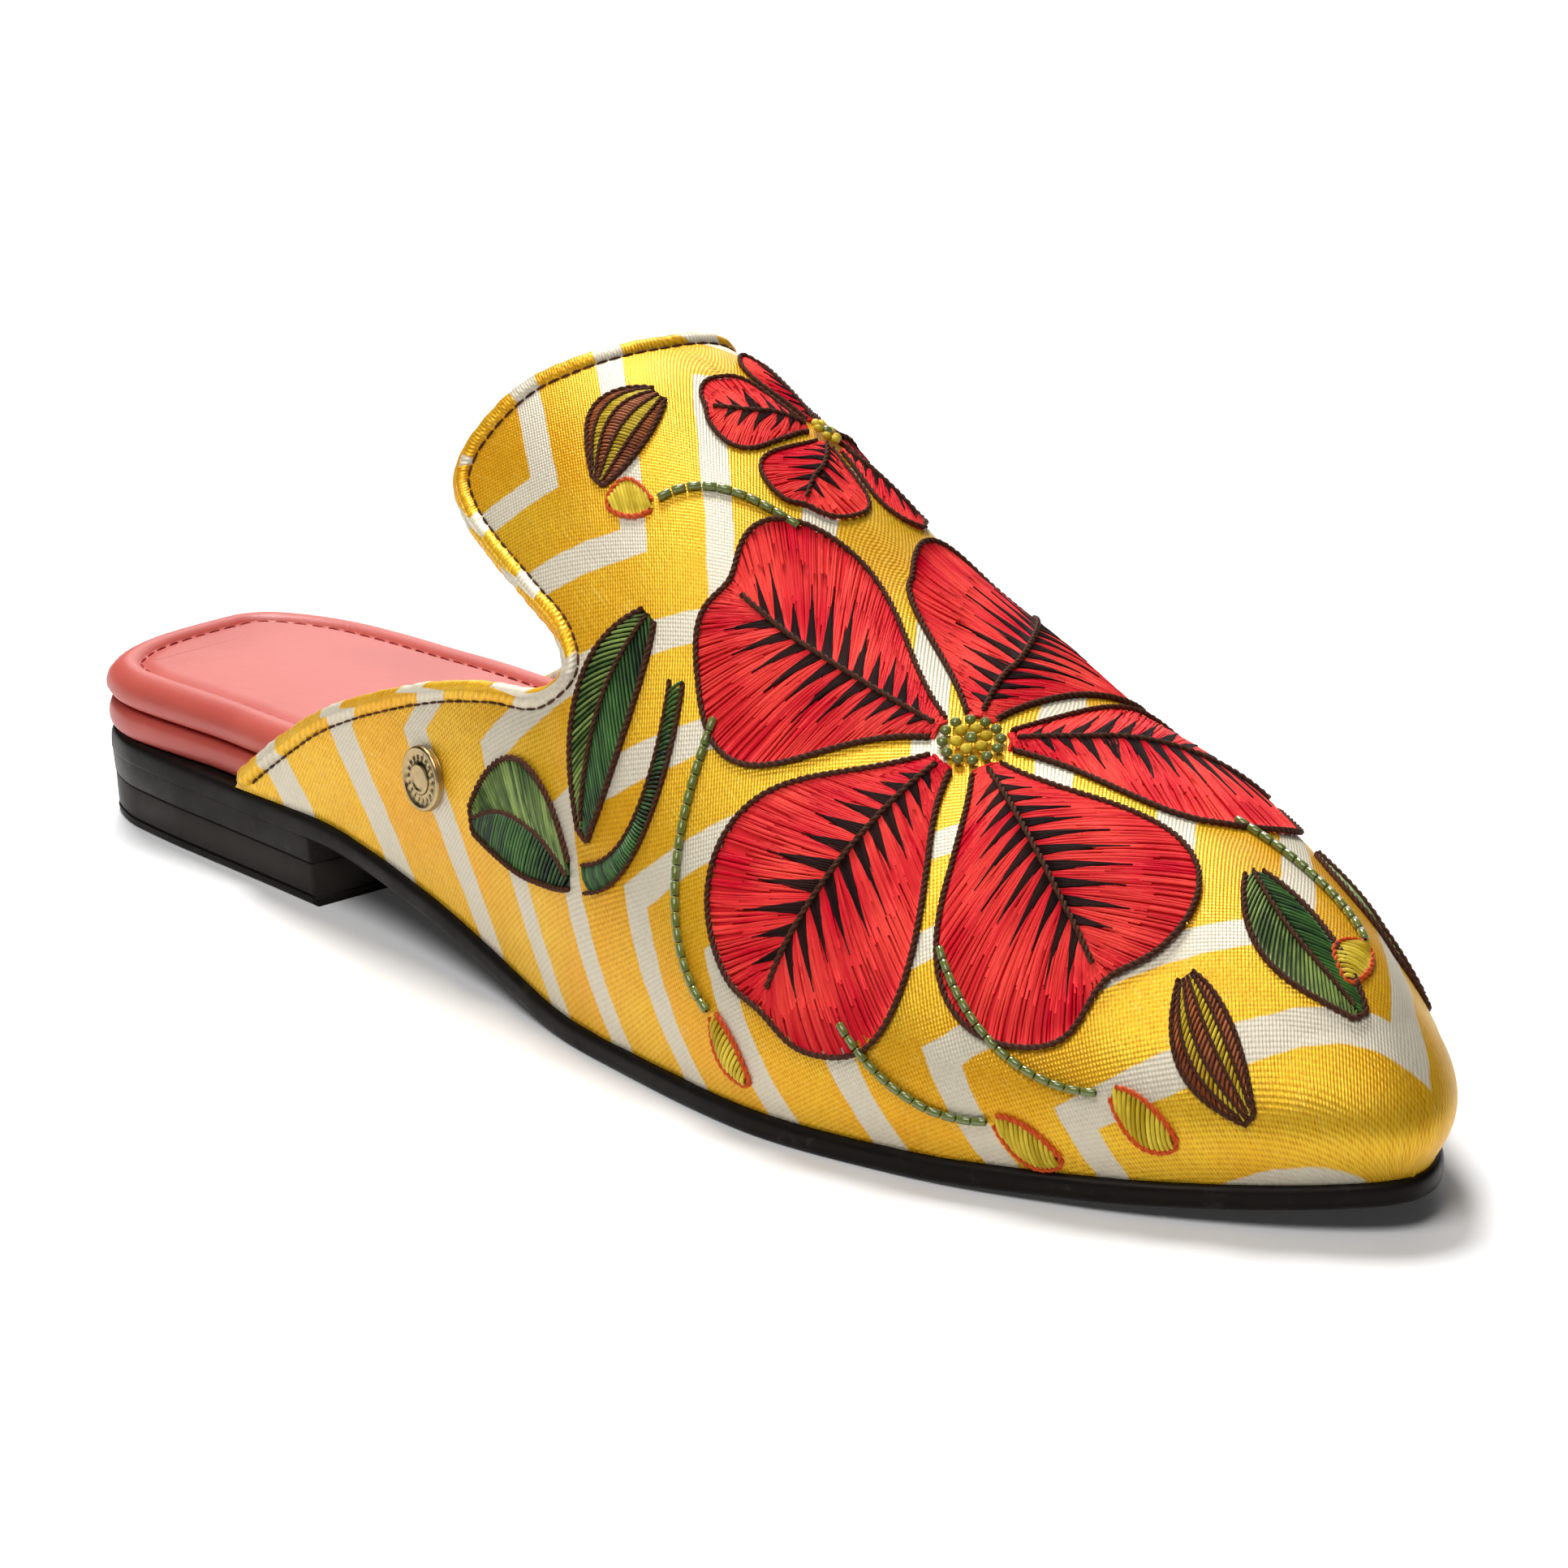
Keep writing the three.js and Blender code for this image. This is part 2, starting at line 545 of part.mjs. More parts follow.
function core(bloom) {
  const spot = (u, v) => {
    const w = v * Math.sqrt(Math.max(0.02, 1 - (2 * u - 1) ** 2));
    return [bloom.x + (bloom.core - 0.9) * (2 * u - 1), bloom.across + (bloom.core - 0.9) * w];
  };
  return patch(`${bloom.name}_core`, 'bead_olive', 6, 4, spot, (u, v) => 0.7 + 0.7 * (1 - v * v) * 4 * u * (1 - u));
}

function sprig(row) {
  const heading = rad(row.heading);
  const spot = (u, v) => {
    const w = v * row.width / 2 * Math.sin(Math.PI * (0.05 + 0.9 * u)) ** 0.8;
    const bow = 0.09 * row.length * Math.sin(Math.PI * u);
    const y = w + bow;
    return [row.x + u * row.length * Math.cos(heading) - y * Math.sin(heading), row.across + u * row.length * Math.sin(heading) + y * Math.cos(heading)];
  };
  return patch(row.name, row.colour, 6, 2, spot, (u, v) => THREAD * (0.45 + 0.45 * (1 - v * v)));
}

function stem(row) {
  const spot = (u, v) => {
    const bend = (p, q, r) => (1 - u) ** 2 * p + 2 * u * (1 - u) * q + u * u * r;
    const run = new THREE.Vector2(
      (1 - u) * (row.x1 - row.x0) + u * (row.x2 - row.x1),
      (1 - u) * (row.across1 - row.across0) + u * (row.across2 - row.across1),
    ).normalize().multiplyScalar(v * STEM_WIDTH / 2);
    return [bend(row.x0, row.x1, row.x2) - run.y, bend(row.across0, row.across1, row.across2) + run.x];
  };
  return patch(row.name, 'leaf_green', 7, 2, spot, (u, v) => THREAD * (0.4 + 0.5 * (1 - v * v)));
}

const shoe = new THREE.Group();
shoe.name = 'flat_mule_right';
shoe.add(outsole());
shoe.add(heelLayer('heel_lift_upper', 'rubber', LOWER_LIFT_TOP + SEAM, HEEL_RISE - SEAM, 0.7, 0.5));
shoe.add(heelLayer('heel_lift_lower', 'lift', TOP_PIECE + SEAM, LOWER_LIFT_TOP, 1.1, 0.8));
shoe.add(heelLayer('heel_top_piece', 'rubber', 0, TOP_PIECE, 0.9, 0.9));
shoe.add(midsole());
shoe.add(insole());
shoe.add(upper(56, 22));
shoe.add(binding(70, 7));
shoe.add(rivet());
BLOOMS.forEach((bloom) => {
  steps(4, 0, 4).forEach((k) => shoe.add(petal(bloom, k)));
  shoe.add(core(bloom));
});
SPRIGS.forEach((row) => shoe.add(sprig(row)));
STEMS.forEach((row) => shoe.add(stem(row)));

const box = new THREE.Box3().setFromObject(shoe);
const middle = box.getCenter(new THREE.Vector3());
shoe.children.forEach((mesh) => mesh.geometry.translate(-middle.x, -middle.y, -box.min.z));

export default shoe;
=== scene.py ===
import bmesh
import bpy
import math
import numpy as np
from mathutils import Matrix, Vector


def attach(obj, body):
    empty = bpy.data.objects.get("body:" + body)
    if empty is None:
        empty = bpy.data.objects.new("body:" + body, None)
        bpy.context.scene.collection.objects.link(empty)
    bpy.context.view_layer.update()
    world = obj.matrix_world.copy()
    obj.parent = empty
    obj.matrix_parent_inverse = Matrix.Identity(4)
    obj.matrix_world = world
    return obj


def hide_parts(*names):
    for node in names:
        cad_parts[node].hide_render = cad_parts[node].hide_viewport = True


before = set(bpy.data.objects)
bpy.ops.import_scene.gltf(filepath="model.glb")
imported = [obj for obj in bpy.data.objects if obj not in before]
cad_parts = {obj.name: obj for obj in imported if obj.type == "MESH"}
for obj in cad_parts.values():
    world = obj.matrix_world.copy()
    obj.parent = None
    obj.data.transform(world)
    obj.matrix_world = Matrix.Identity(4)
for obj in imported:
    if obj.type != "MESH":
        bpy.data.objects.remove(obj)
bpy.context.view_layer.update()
rng = np.random.default_rng(7)
print("frame loaded")

# sole and upper forms in millimetres from the back of the heel, lateral is -Y
form = {
    "length": 256.0, "heelBack": 10.0, "shiftX": 133.26, "shiftY": -0.161,
    "soleThick": 3.2, "boardThick": 3.9, "padThick": 5.6, "gap": 0.3,
    "feather": 1.0, "bulge": 2.6, "nose": 0.9, "lean": 9.5, "wall": 1.8, "swing": 2.8, "swingFrom": 0.35,
    "outlineAt": [10 / 256, .043, .053, .072, .105, .156, .211, .32, .44, .56, .68, .78, .87, .94, .982, 1],
    "lateral": [0, 14, 21.4, 27, 29.5, 30, 30, 30.4, 33.2, 38.2, 40.6, 36, 27, 16.5, 7.8, 0],
    "medial": [0, 4.2, 7.6, 10.8, 14.6, 18.2, 20.4, 23.8, 28, 32.8, 38, 36.6, 28.8, 19, 9.8, 0],
    "riseAt": [0, .27, .38, .54, .74, .87, 1],
    "rise": [10.1, 10.1, 6.6, 0, 0, 1.1, 3.8],
    "ridgeAt": [.28, .42, .5, .6, .7, .8, .9, .96, .988, 1],
    "ridge": [73.2, 73.6, 68.8, 55.3, 45, 38.5, 29.6, 20.3, 11.5, 0],
}

# topline as x and turn in degrees, lateral tip over the tongue to the medial tip
topline = {
    "x": [50.4, 54.2, 61.8, 72, 82.2, 94.9, 111.4, 121, 123.6, 120.3, 112.5, 102.2, 95.2, 90.2, 89.2, 90.2,
          93.6, 97.6, 101, 102.6, 102.2, 98, 96.2, 98.1, 102.5, 108.2, 114.6, 119.6, 120.6, 116.2, 108,
          96.2, 83, 72, 62, 54.2, 50.4],
    "turn": [0, 1.8, 5.7, 10.9, 15.6, 21.2, 27.8, 32.3, 36, 38, 38.4, 39.8, 41.8, 45.2, 49.4, 55.4, 66.4,
             75, 85, 95, 106, 116, 125.4, 130.7, 135.2, 139.1, 141.3, 143.2, 146.3, 150.4, 154.4, 157.5,
             163.7, 169.4, 174.4, 178.2, 180],
}


def clip01(v):
    return np.clip(v, 0.0, 1.0)


def ease(v):
    v = clip01(v)
    return v * v * (3 - 2 * v)


# dictionaries with the same keys from rows of values
def rowsOf(keys, rows):
    return [dict(zip(keys, row)) for row in rows]


# shape preserving cubic through the knots
def curveOf(xs, ys):
    xs = np.asarray(xs, float)
    ys = np.asarray(ys, float)
    h = np.diff(xs)
    d = np.diff(ys) / h
    m = np.zeros(len(xs))
    for i in range(1, len(xs) - 1):
        if d[i - 1] * d[i] > 0:
            a = 2 * h[i] + h[i - 1]
            b = h[i] + 2 * h[i - 1]
            m[i] = (a + b) / (a / d[i - 1] + b / d[i])
    for i, h0, h1, d0, d1 in ((0, h[0], h[1], d[0], d[1]), (-1, h[-1], h[-2], d[-1], d[-2])):
        e = ((2 * h0 + h1) * d0 - h0 * d1) / (h0 + h1)
        e = 0 if e * d0 <= 0 else e
        m[i] = 3 * d0 if d0 * d1 <= 0 and abs(e) > 3 * abs(d0) else e

    def value(t):
        t = np.clip(np.asarray(t, float), xs[0], xs[-1])
        i = np.clip(np.searchsorted(xs, t, side="right") - 1, 0, len(h) - 1)
        s = (t - xs[i]) / h[i]
        low = (1 + 2 * s) * (1 - s) ** 2 * ys[i] + s * (1 - s) ** 2 * h[i] * m[i]
        return low + s * s * (3 - 2 * s) * ys[i + 1] + s * s * (s - 1) * h[i] * m[i + 1]
    return value


length = form["length"]
lateralSq = curveOf(form["outlineAt"], np.square(form["lateral"]))
medialSq = curveOf(form["outlineAt"], np.square(form["medial"]))
ridgeSq = curveOf(form["ridgeAt"], np.square(form["ridge"]))
riseOf = curveOf(form["riseAt"], form["rise"])


def halfWidth(x, lateral):
    t = np.asarray(x, float) / length
    return np.sqrt(np.maximum(np.where(lateral, lateralSq(t), medialSq(t)), 0))


def ridgeHeight(x):
    return np.sqrt(np.maximum(ridgeSq(np.asarray(x) / length), 0))


def centreLine(x):
    far = clip01((np.asarray(x) / length - form["swingFrom"]) / (1 - form["swingFrom"]))
    return form["swing"] * far ** 2


def bed(x):
    return riseOf(np.asarray(x) / length) + form["soleThick"]


# how the upper's section changes along the shoe, shares of the length unless in millimetres
section = {
    "from": 0.42, "span": 0.5, "rise": 0.92, "riseGain": 0.11, "side": 0.71, "sideGain": 0.22,
    "noseFrom": 0.9, "leanSpan": 0.25, "swellTop": 0.78, "swellMin": 18, "featherAt": 48, "featherSpan": 30,
}


# outer face of the upper, turn from the lateral feather line over the ridge to the medial one
def upperAt(x, turn):
    x = np.asarray(x, float)
    turn = np.asarray(turn, float)
    t = x / length
    c = np.cos(turn)
    s = np.abs(np.sin(turn))
    lateral = c > 0
    side = np.where(lateral, -1.0, 1.0)
    flat = np.abs(c)
    h = ridgeHeight(x)
    k = clip01((t - section["from"]) / section["span"])
    rise = h * s ** (section["rise"] + section["riseGain"] * k)
    before = np.clip(x - 0.3, 0, length)
    after = np.clip(x + 0.3, 0, length)
    taper = (halfWidth(after, lateral) - halfWidth(before, lateral)) / (after - before)
    nose = clip01((t - section["noseFrom"]) / (1 - section["noseFrom"])) ** 2
    top = np.maximum(section["swellTop"] * h, section["swellMin"])
    swell = (form["bulge"] + form["nose"] * nose) * np.sin(np.pi * clip01(rise / top))
    swell = swell - form["feather"] * ease((x - section["featherAt"]) / section["featherSpan"])
    lean = form["lean"] * np.sqrt(clip01((1 - t) / section["leanSpan"])) * s * s
    slope = np.hypot(1, taper)
    wide = flat ** (section["side"] + section["sideGain"] * k)
    across = halfWidth(x, lateral) * wide + swell * flat / slope
    px = x - swell * (flat + (1 - flat) * nose) * taper / slope
    return np.stack([px, centreLine(x) + lean + side * across, bed(x) + form["gap"] + rise], -1)


def unit(v):
    return v / np.maximum(np.linalg.norm(v, axis=-1, keepdims=True), 1e-12)


def normalAt(x, turn):
    x = np.asarray(x, float)
    turn = np.asarray(turn, float)
    step = {"x": 0.6, "turn": 0.015}
    x0, x1 = (np.clip(x + d, 2, length - 0.01) for d in (-step["x"], step["x"]))
    t0, t1 = (np.clip(turn + d, 0.001, np.pi - 0.001) for d in (-step["turn"], step["turn"]))
    inside = np.clip(x, 2, length - 0.3)
    return unit(np.cross(upperAt(x1, turn) - upperAt(x0, turn), upperAt(inside, t1) - upperAt(inside, t0)))


# tension folds of the satin: x, turn in degrees, reach along and across, heading, height
folds = rowsOf(("x", "turn", "long", "wide", "heading", "high"), [
    (131, 30, 13, 2.6, 25, 0.32), (134, 24, 12, 2.4, 12, -0.28), (128, 150, 13, 2.6, -25, 0.32),
    (140, 12, 16, 3.2, 60, 0.25), (158, 9, 12, 2.8, 68, -0.22), (76, 6, 12, 2.6, 40, 0.22),
    (205, 8, 9, 2.2, 70, 0.2), (224, 10, 7, 1.8, 65, -0.18), (236, 16, 6, 1.6, 55, 0.16),
    (240, 150, 6, 1.8, -55, 0.18), (112, 70, 14, 4.0, 80, 0.3), (118, 110, 14, 4.0, 95, -0.28),
    (165, 165, 14, 3.0, -65, 0.25),
])


# distance across the vamp from the ridge in millimetres, lateral positive
def reachOf(x, lateral):
    return np.sqrt((halfWidth(x, lateral) ** 2 + ridgeHeight(x) ** 2) / 2)


def acrossOf(x, turn):
    return (np.pi / 2 - turn) * reachOf(x, turn < np.pi / 2)


def turnOf(x, across):
    return np.pi / 2 - np.asarray(across) / reachOf(x, np.asarray(across) > 0)


def foldHeight(x, turn):
    total = np.zeros(np.broadcast(x, turn).shape)
    across = acrossOf(x, turn)
    for f in folds:
        dx = x - f["x"]
        dy = across - acrossOf(np.array(f["x"], float), np.array(math.radians(f["turn"])))
        a = math.radians(f["heading"])
        u = dx * math.cos(a) + dy * math.sin(a)
        v = -dx * math.sin(a) + dy * math.cos(a)
        total = total + f["high"] * np.exp(-(u / f["long"]) ** 2 - (v / f["wide"]) ** 2)
    return total


def offUpper(x, turn, off):
    off = np.asarray(off) + foldHeight(x, turn)
    return upperAt(x, turn) + normalAt(x, turn) * off[..., None]


# millimetres from the heel to metres in the row frame
def toRow(p):
    return (p - np.array([form["shiftX"], form["shiftY"], 0.0])) * 0.001


# length of a path up to each of its points
def lengthAlong(path):
    return np.concatenate([[0], np.cumsum(np.linalg.norm(np.diff(path, axis=0), axis=1))])


# values of a path at given lengths
def alongPath(at, far, values):
    return np.stack([np.interp(at, far, column) for column in values.T], -1)


# quads that close a ring of an even number of points
def ringCap(start, sides, flip=False):
    j = np.arange(sides // 2 - 1)
    q = np.stack([j, j + 1, sides - 2 - j, sides - 1 - j], -1) + start
    return q[:, ::-1] if flip else q


# joins points that fall together, such as the poles of a plate
def weld(obj):
    work = bmesh.new()
    work.from_mesh(obj.data)
    bmesh.ops.remove_doubles(work, verts=work.verts, dist=2e-6)
    bmesh.ops.dissolve_degenerate(work, edges=work.edges, dist=1e-7)
    work.to_mesh(obj.data)
    work.free()
    return obj


def addObject(name, data):
    obj = bpy.data.objects.new(name, data)
    bpy.context.scene.collection.objects.link(obj)
    return obj


# one mesh object from arrays, with float attributes per vertex
def meshObject(name, points, faces, materials, attributes=None, slots=None):
    points = toRow(np.asarray(points, float).reshape(-1, 3))
    faces = np.asarray(faces, np.int32)
    mesh = bpy.data.meshes.new(name)
    count, size = faces.shape
    mesh.vertices.add(len(points))
    mesh.vertices.foreach_set("co", points.astype(np.float32).ravel())
    mesh.loops.add(count * size)
    mesh.loops.foreach_set("vertex_index", faces.ravel())
    mesh.polygons.add(count)
    mesh.polygons.foreach_set("loop_start", np.arange(0, count * size, size, dtype=np.int32))
    mesh.polygons.foreach_set("loop_total", np.full(count, size, np.int32))
    for m in materials:
        mesh.materials.append(m)
    if slots is not None:
        mesh.polygons.foreach_set("material_index", np.asarray(slots, np.int32))
    mesh.polygons.foreach_set("use_smooth", np.full(count, True))
    mesh.update(calc_edges=True)
    for key, values in (attributes or {}).items():
        layer = mesh.attributes.new(key, "FLOAT", "POINT")
        layer.data.foreach_set("value", np.asarray(values, np.float32).ravel())
    return addObject(name, mesh)


# rides on the one body and hides the solids that it stands for
def settle(obj, nodes=()):
    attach(obj, "root")
    if nodes:
        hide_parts(*nodes)
    return obj


# quads of a grid of rows and columns, closed round the columns if asked
def gridFaces(rows, cols, start=0, closed=False, flip=False):
    i = np.arange(rows - 1)[:, None]
    j = np.arange(cols if closed else cols - 1)[None, :]
    k = (j + 1) % cols
    near, far = i * cols, (i + 1) * cols
    q = np.stack(np.broadcast_arrays(near + j, far + j, far + k, near + k), -1).reshape(-1, 4) + start
    return q[:, ::-1] if flip else q


# quads of a closed tube of rings, with both ends capped
def tubeFaces(rings, sides):
    ends = [ringCap(0, sides), ringCap((rings - 1) * sides, sides, flip=True)]
    return np.vstack([gridFaces(rings, sides, closed=True, flip=True)] + ends)


# one material, further sockets are named with underscores for spaces
def newMaterial(name, colour, rough, **sockets):
    mat = bpy.data.materials.new(name)
    mat.use_nodes = True
    shader = mat.node_tree.nodes["Principled BSDF"]
    shader.inputs["Base Color"].default_value = (*colour, 1)
    shader.inputs["Roughness"].default_value = rough
    for key, value in sockets.items():
        shader.inputs[key.replace("_", " ")].default_value = value
    return mat


# shader nodes of a material or the world, wired by short calls
class Net:
    def __init__(self, owner, shader="Principled BSDF"):
        self.tree = owner.node_tree
        self.shader = self.tree.nodes[shader]

    def node(self, kind, sockets=(), **settings):
        n = self.tree.nodes.new(kind)
        for key, value in settings.items():
            setattr(n, key, value)
        for key, value in dict(sockets).items():
            if hasattr(value, "is_linked"):
                self.tree.links.new(value, n.inputs[key])
            else:
                n.inputs[key].default_value = value
        return n

    def wire(self, key, value):
        self.tree.links.new(value, self.shader.inputs[key])

    def place(self, key="Object"):
        return self.node("ShaderNodeTexCoord").outputs[key]

    def math(self, operation, a, b=0.0, c=0.0):
        return self.node("ShaderNodeMath", {0: a, 1: b, 2: c}, operation=operation).outputs[0]

    def attribute(self, name):
        return self.node("ShaderNodeAttribute", attribute_name=name).outputs["Fac"]

    def fade(self, value, lo, hi, outLo=0.0, outHi=1.0):
        sockets = {"Value": value, "From Min": lo, "From Max": hi, "To Min": outLo, "To Max": outHi}
        return self.node("ShaderNodeMapRange", sockets, interpolation_type="SMOOTHSTEP").outputs["Result"]

    def noise(self, scale, detail=2.0, rough=0.5, vector=None):
        sockets = {"Scale": scale, "Detail": detail, "Roughness": rough, "Vector": vector or self.place()}
        return self.node("ShaderNodeTexNoise", sockets).outputs["Fac"]

    def mix(self, factor, a, b):
        a, b = (v if hasattr(v, "is_linked") else (*v, 1) for v in (a, b))
        return self.node("ShaderNodeMix", {0: factor, 6: a, 7: b}, data_type="RGBA").outputs[2]

    def bump(self, height, strength, distance):
        n = self.node("ShaderNodeBump", {"Strength": strength, "Distance": distance, "Height": height})
        old = self.shader.inputs["Normal"]
        if old.is_linked:
            self.tree.links.new(old.links[0].from_socket, n.inputs["Normal"])
        self.wire("Normal", n.outputs["Normal"])


# golden satin with cream zigzag stripes, a plain weave of uneven threads with painted shade in its gaps,
# slubs along the weft and patches of painted sheen
def satinMaterial():
    # low is the painted shade in the weave's gaps on the gold, shade the painted shade in the gaps on the
    # cream
    look = {"gold": (1.0, 0.655, 0.036), "deep": (0.95, 0.475, 0.012), "light": (1.0, 0.79, 0.18),
            "low": (0.66, 0.26, 0.002), "cream": (0.79, 0.72, 0.57), "shade": (0.52, 0.44, 0.31),
            "pitch": 18.0, "half": 2.75, "soft": 0.22, "wander": 0.9, "weave": 0.68,
            "zig": 33.0, "slope": -0.85, "skew": 0.26, "skewAt": 133.0, "acrossAt": 63.0, "alongAt": 132.7}
    mat = newMaterial("satin", look["gold"], 0.40, Metallic=0.40, Specular_IOR_Level=0.28)
    net = Net(mat)
    along = net.attribute("along")
    across = net.attribute("across")
    wander = net.noise(260.0, 2.0)
    lined = net.math("SUBTRACT", across, look["acrossAt"])
    lined = net.math("MULTIPLY_ADD", net.math("SUBTRACT", along, look["skewAt"]), look["skew"], lined)
    zig = net.math("PINGPONG", lined, look["zig"])
    place = net.math("MULTIPLY_ADD", zig, look["slope"], net.math("SUBTRACT", along, look["alongAt"]))
    turns = net.math("FRACT", net.math("MULTIPLY_ADD", place, 1 / look["pitch"], 100.5))
    away = net.math("MULTIPLY", net.math("ABSOLUTE", net.math("SUBTRACT", turns, 0.5)), look["pitch"])
    away = net.math("MULTIPLY_ADD", net.math("SUBTRACT", wander, 0.5), look["wander"], away)
    stripe = net.fade(away, look["half"] - look["soft"], look["half"] + look["soft"], 1.0, 0.0)
    beat = 2 * math.pi / look["weave"]
    warp, weft = (net.math("SINE", net.math("MULTIPLY", v, beat)) for v in (along, across))
    cloth = net.math("MULTIPLY_ADD", net.math("MULTIPLY", warp, weft), 0.5, 0.5)

    def threads(alongScale, acrossScale):
        scaled = {0: net.math("MULTIPLY", along, alongScale), 1: net.math("MULTIPLY", across, acrossScale)}
        flat = net.node("ShaderNodeCombineXYZ", scaled)
        return net.noise(1.0, 2.0, 0.6, flat.outputs[0])
    slub = threads(0.32, 2.4)
    uneven = net.math("MULTIPLY", net.math("ADD", threads(2.2, 0.5), threads(0.5, 2.2)), 0.5)
    # patches of painted sheen, from gold to deeper gold
    sheenPatches = net.noise(38.0, 3.0, 0.55)
    ground = net.mix(net.fade(sheenPatches, 0.35, 0.7), look["gold"], look["deep"])
    ground = net.mix(net.fade(slub, 0.55, 0.75, 0.0, 0.55), ground, look["light"])
    # painted shade in the weave's gaps, made uneven by the threads
    weaveShade = net.math("MULTIPLY_ADD", cloth, 0.75, 0.05)
    weaveShade = net.math("MULTIPLY", weaveShade, net.fade(uneven, 0.38, 0.60, 1.25, 0.65))
    ground = net.mix(weaveShade, ground, look["low"])
    pale = net.mix(net.math("MULTIPLY", weaveShade, 0.55), look["cream"], look["shade"])
    net.wire("Base Color", net.mix(stripe, ground, pale))
    net.wire("Roughness", net.fade(stripe, 0.0, 1.0, 0.38, 0.54))
    net.bump(cloth, 0.55, 0.00012)
    net.bump(slub, 0.25, 0.00025)
    return mat


# embroidery floss, tone runs from deep to bright along a random attribute
def flossMaterial(name, deep, bright, rough=0.45, gloss=0.16):
    mat = newMaterial(name, bright, rough, Specular_IOR_Level=gloss)
    net = Net(mat)
    net.wire("Base Color", net.mix(net.attribute("tone"), deep, bright))
    net.bump(net.noise(2600.0, 1.0), 0.2, 0.00015)
    return mat


# smooth coral leather with fine grain
def leatherMaterial():
    look = {"coral": (0.55, 0.098, 0.073), "worn": (0.49, 0.077, 0.058)}
    mat = newMaterial("coralLeather", look["coral"], 0.42, Specular_IOR_Level=0.5)
    net = Net(mat)
    sockets = {"Scale": 1500.0, "Vector": net.place()}
    cells = net.node("ShaderNodeTexVoronoi", sockets, feature="DISTANCE_TO_EDGE")
    grain = net.fade(cells.outputs["Distance"], 0.0, 0.12)
    net.wire("Base Color", net.mix(net.fade(net.noise(45.0, 3.0), 0.4, 0.7), look["coral"], look["worn"]))
    net.bump(grain, 0.12, 0.00010)
    net.bump(net.noise(220.0, 3.0), 0.18, 0.0004)
    return mat


# black rubber with faint wear
def rubberMaterial(name, colour, rough):
    worn = (0.05, 0.044, 0.038)
    mat = newMaterial(name, colour, rough, Specular_IOR_Level=0.12, Specular_Tint=(1.0, 0.9, 0.82, 1.0))
    net = Net(mat)
    wear = net.fade(net.noise(300.0, 4.0, 0.65), 0.58, 0.74)
    net.wire("Base Color", net.mix(net.math("MULTIPLY", wear, 0.35), colour, worn))
    net.wire("Roughness", net.fade(net.noise(120.0, 3.0), 0.3, 0.7, rough - 0.06, rough + 0.12))
    net.bump(net.noise(700.0, 3.0), 0.10, 0.0003)
    return mat


# brushed metal, its gloss varies a little
def brassMaterial(name, colour):
    mat = newMaterial(name, colour, 0.34, Metallic=1.0)
    net = Net(mat)
    net.wire("Roughness", net.fade(net.noise(900.0, 3.0), 0.3, 0.75, 0.26, 0.46))
    return mat


satin = satinMaterial()
leather = leatherMaterial()
rubber = rubberMaterial("soleRubber", (0.0085, 0.0072, 0.0062), 0.42)
lift = rubberMaterial("liftRubber", (0.020, 0.0160, 0.0132), 0.46)
brass = brassMaterial("brass", (0.46, 0.34, 0.17))
patina = brassMaterial("patina", (0.10, 0.065, 0.028))
flossLooks = {
    "red": ((0.64, 0.001, 0.020), (1.0, 0.080, 0.058), 0.5, 0.06),
    "brown": ((0.040, 0.013, 0.008), (0.115, 0.044, 0.024), 0.6, 0.1),
    "ink": ((0.008, 0.003, 0.003), (0.036, 0.012, 0.010), 0.6, 0.05),
    "fern": ((0.005, 0.022, 0.005), (0.070, 0.19, 0.038), 0.40, 0.34),
    "grass": ((0.040, 0.085, 0.012), (0.31, 0.42, 0.10), 0.40, 0.34),
    "rust": ((0.22, 0.045, 0.010), (0.50, 0.150, 0.042), 0.42, 0.3),
    "yellow": ((0.50, 0.33, 0.010), (0.88, 0.68, 0.07), 0.42),
    "orange": ((0.50, 0.04, 0.008), (0.80, 0.13, 0.02), 0.45),
    "coral": ((0.26, 0.022, 0.020), (0.40, 0.045, 0.038), 0.5),
}
floss = {key: flossMaterial(key + "Floss", *look) for key, look in flossLooks.items()}
bead = newMaterial("oliveBead", (0.20, 0.25, 0.058), 0.12, Coat_Weight=0.6, Transmission_Weight=0.25)
print("materials ready")


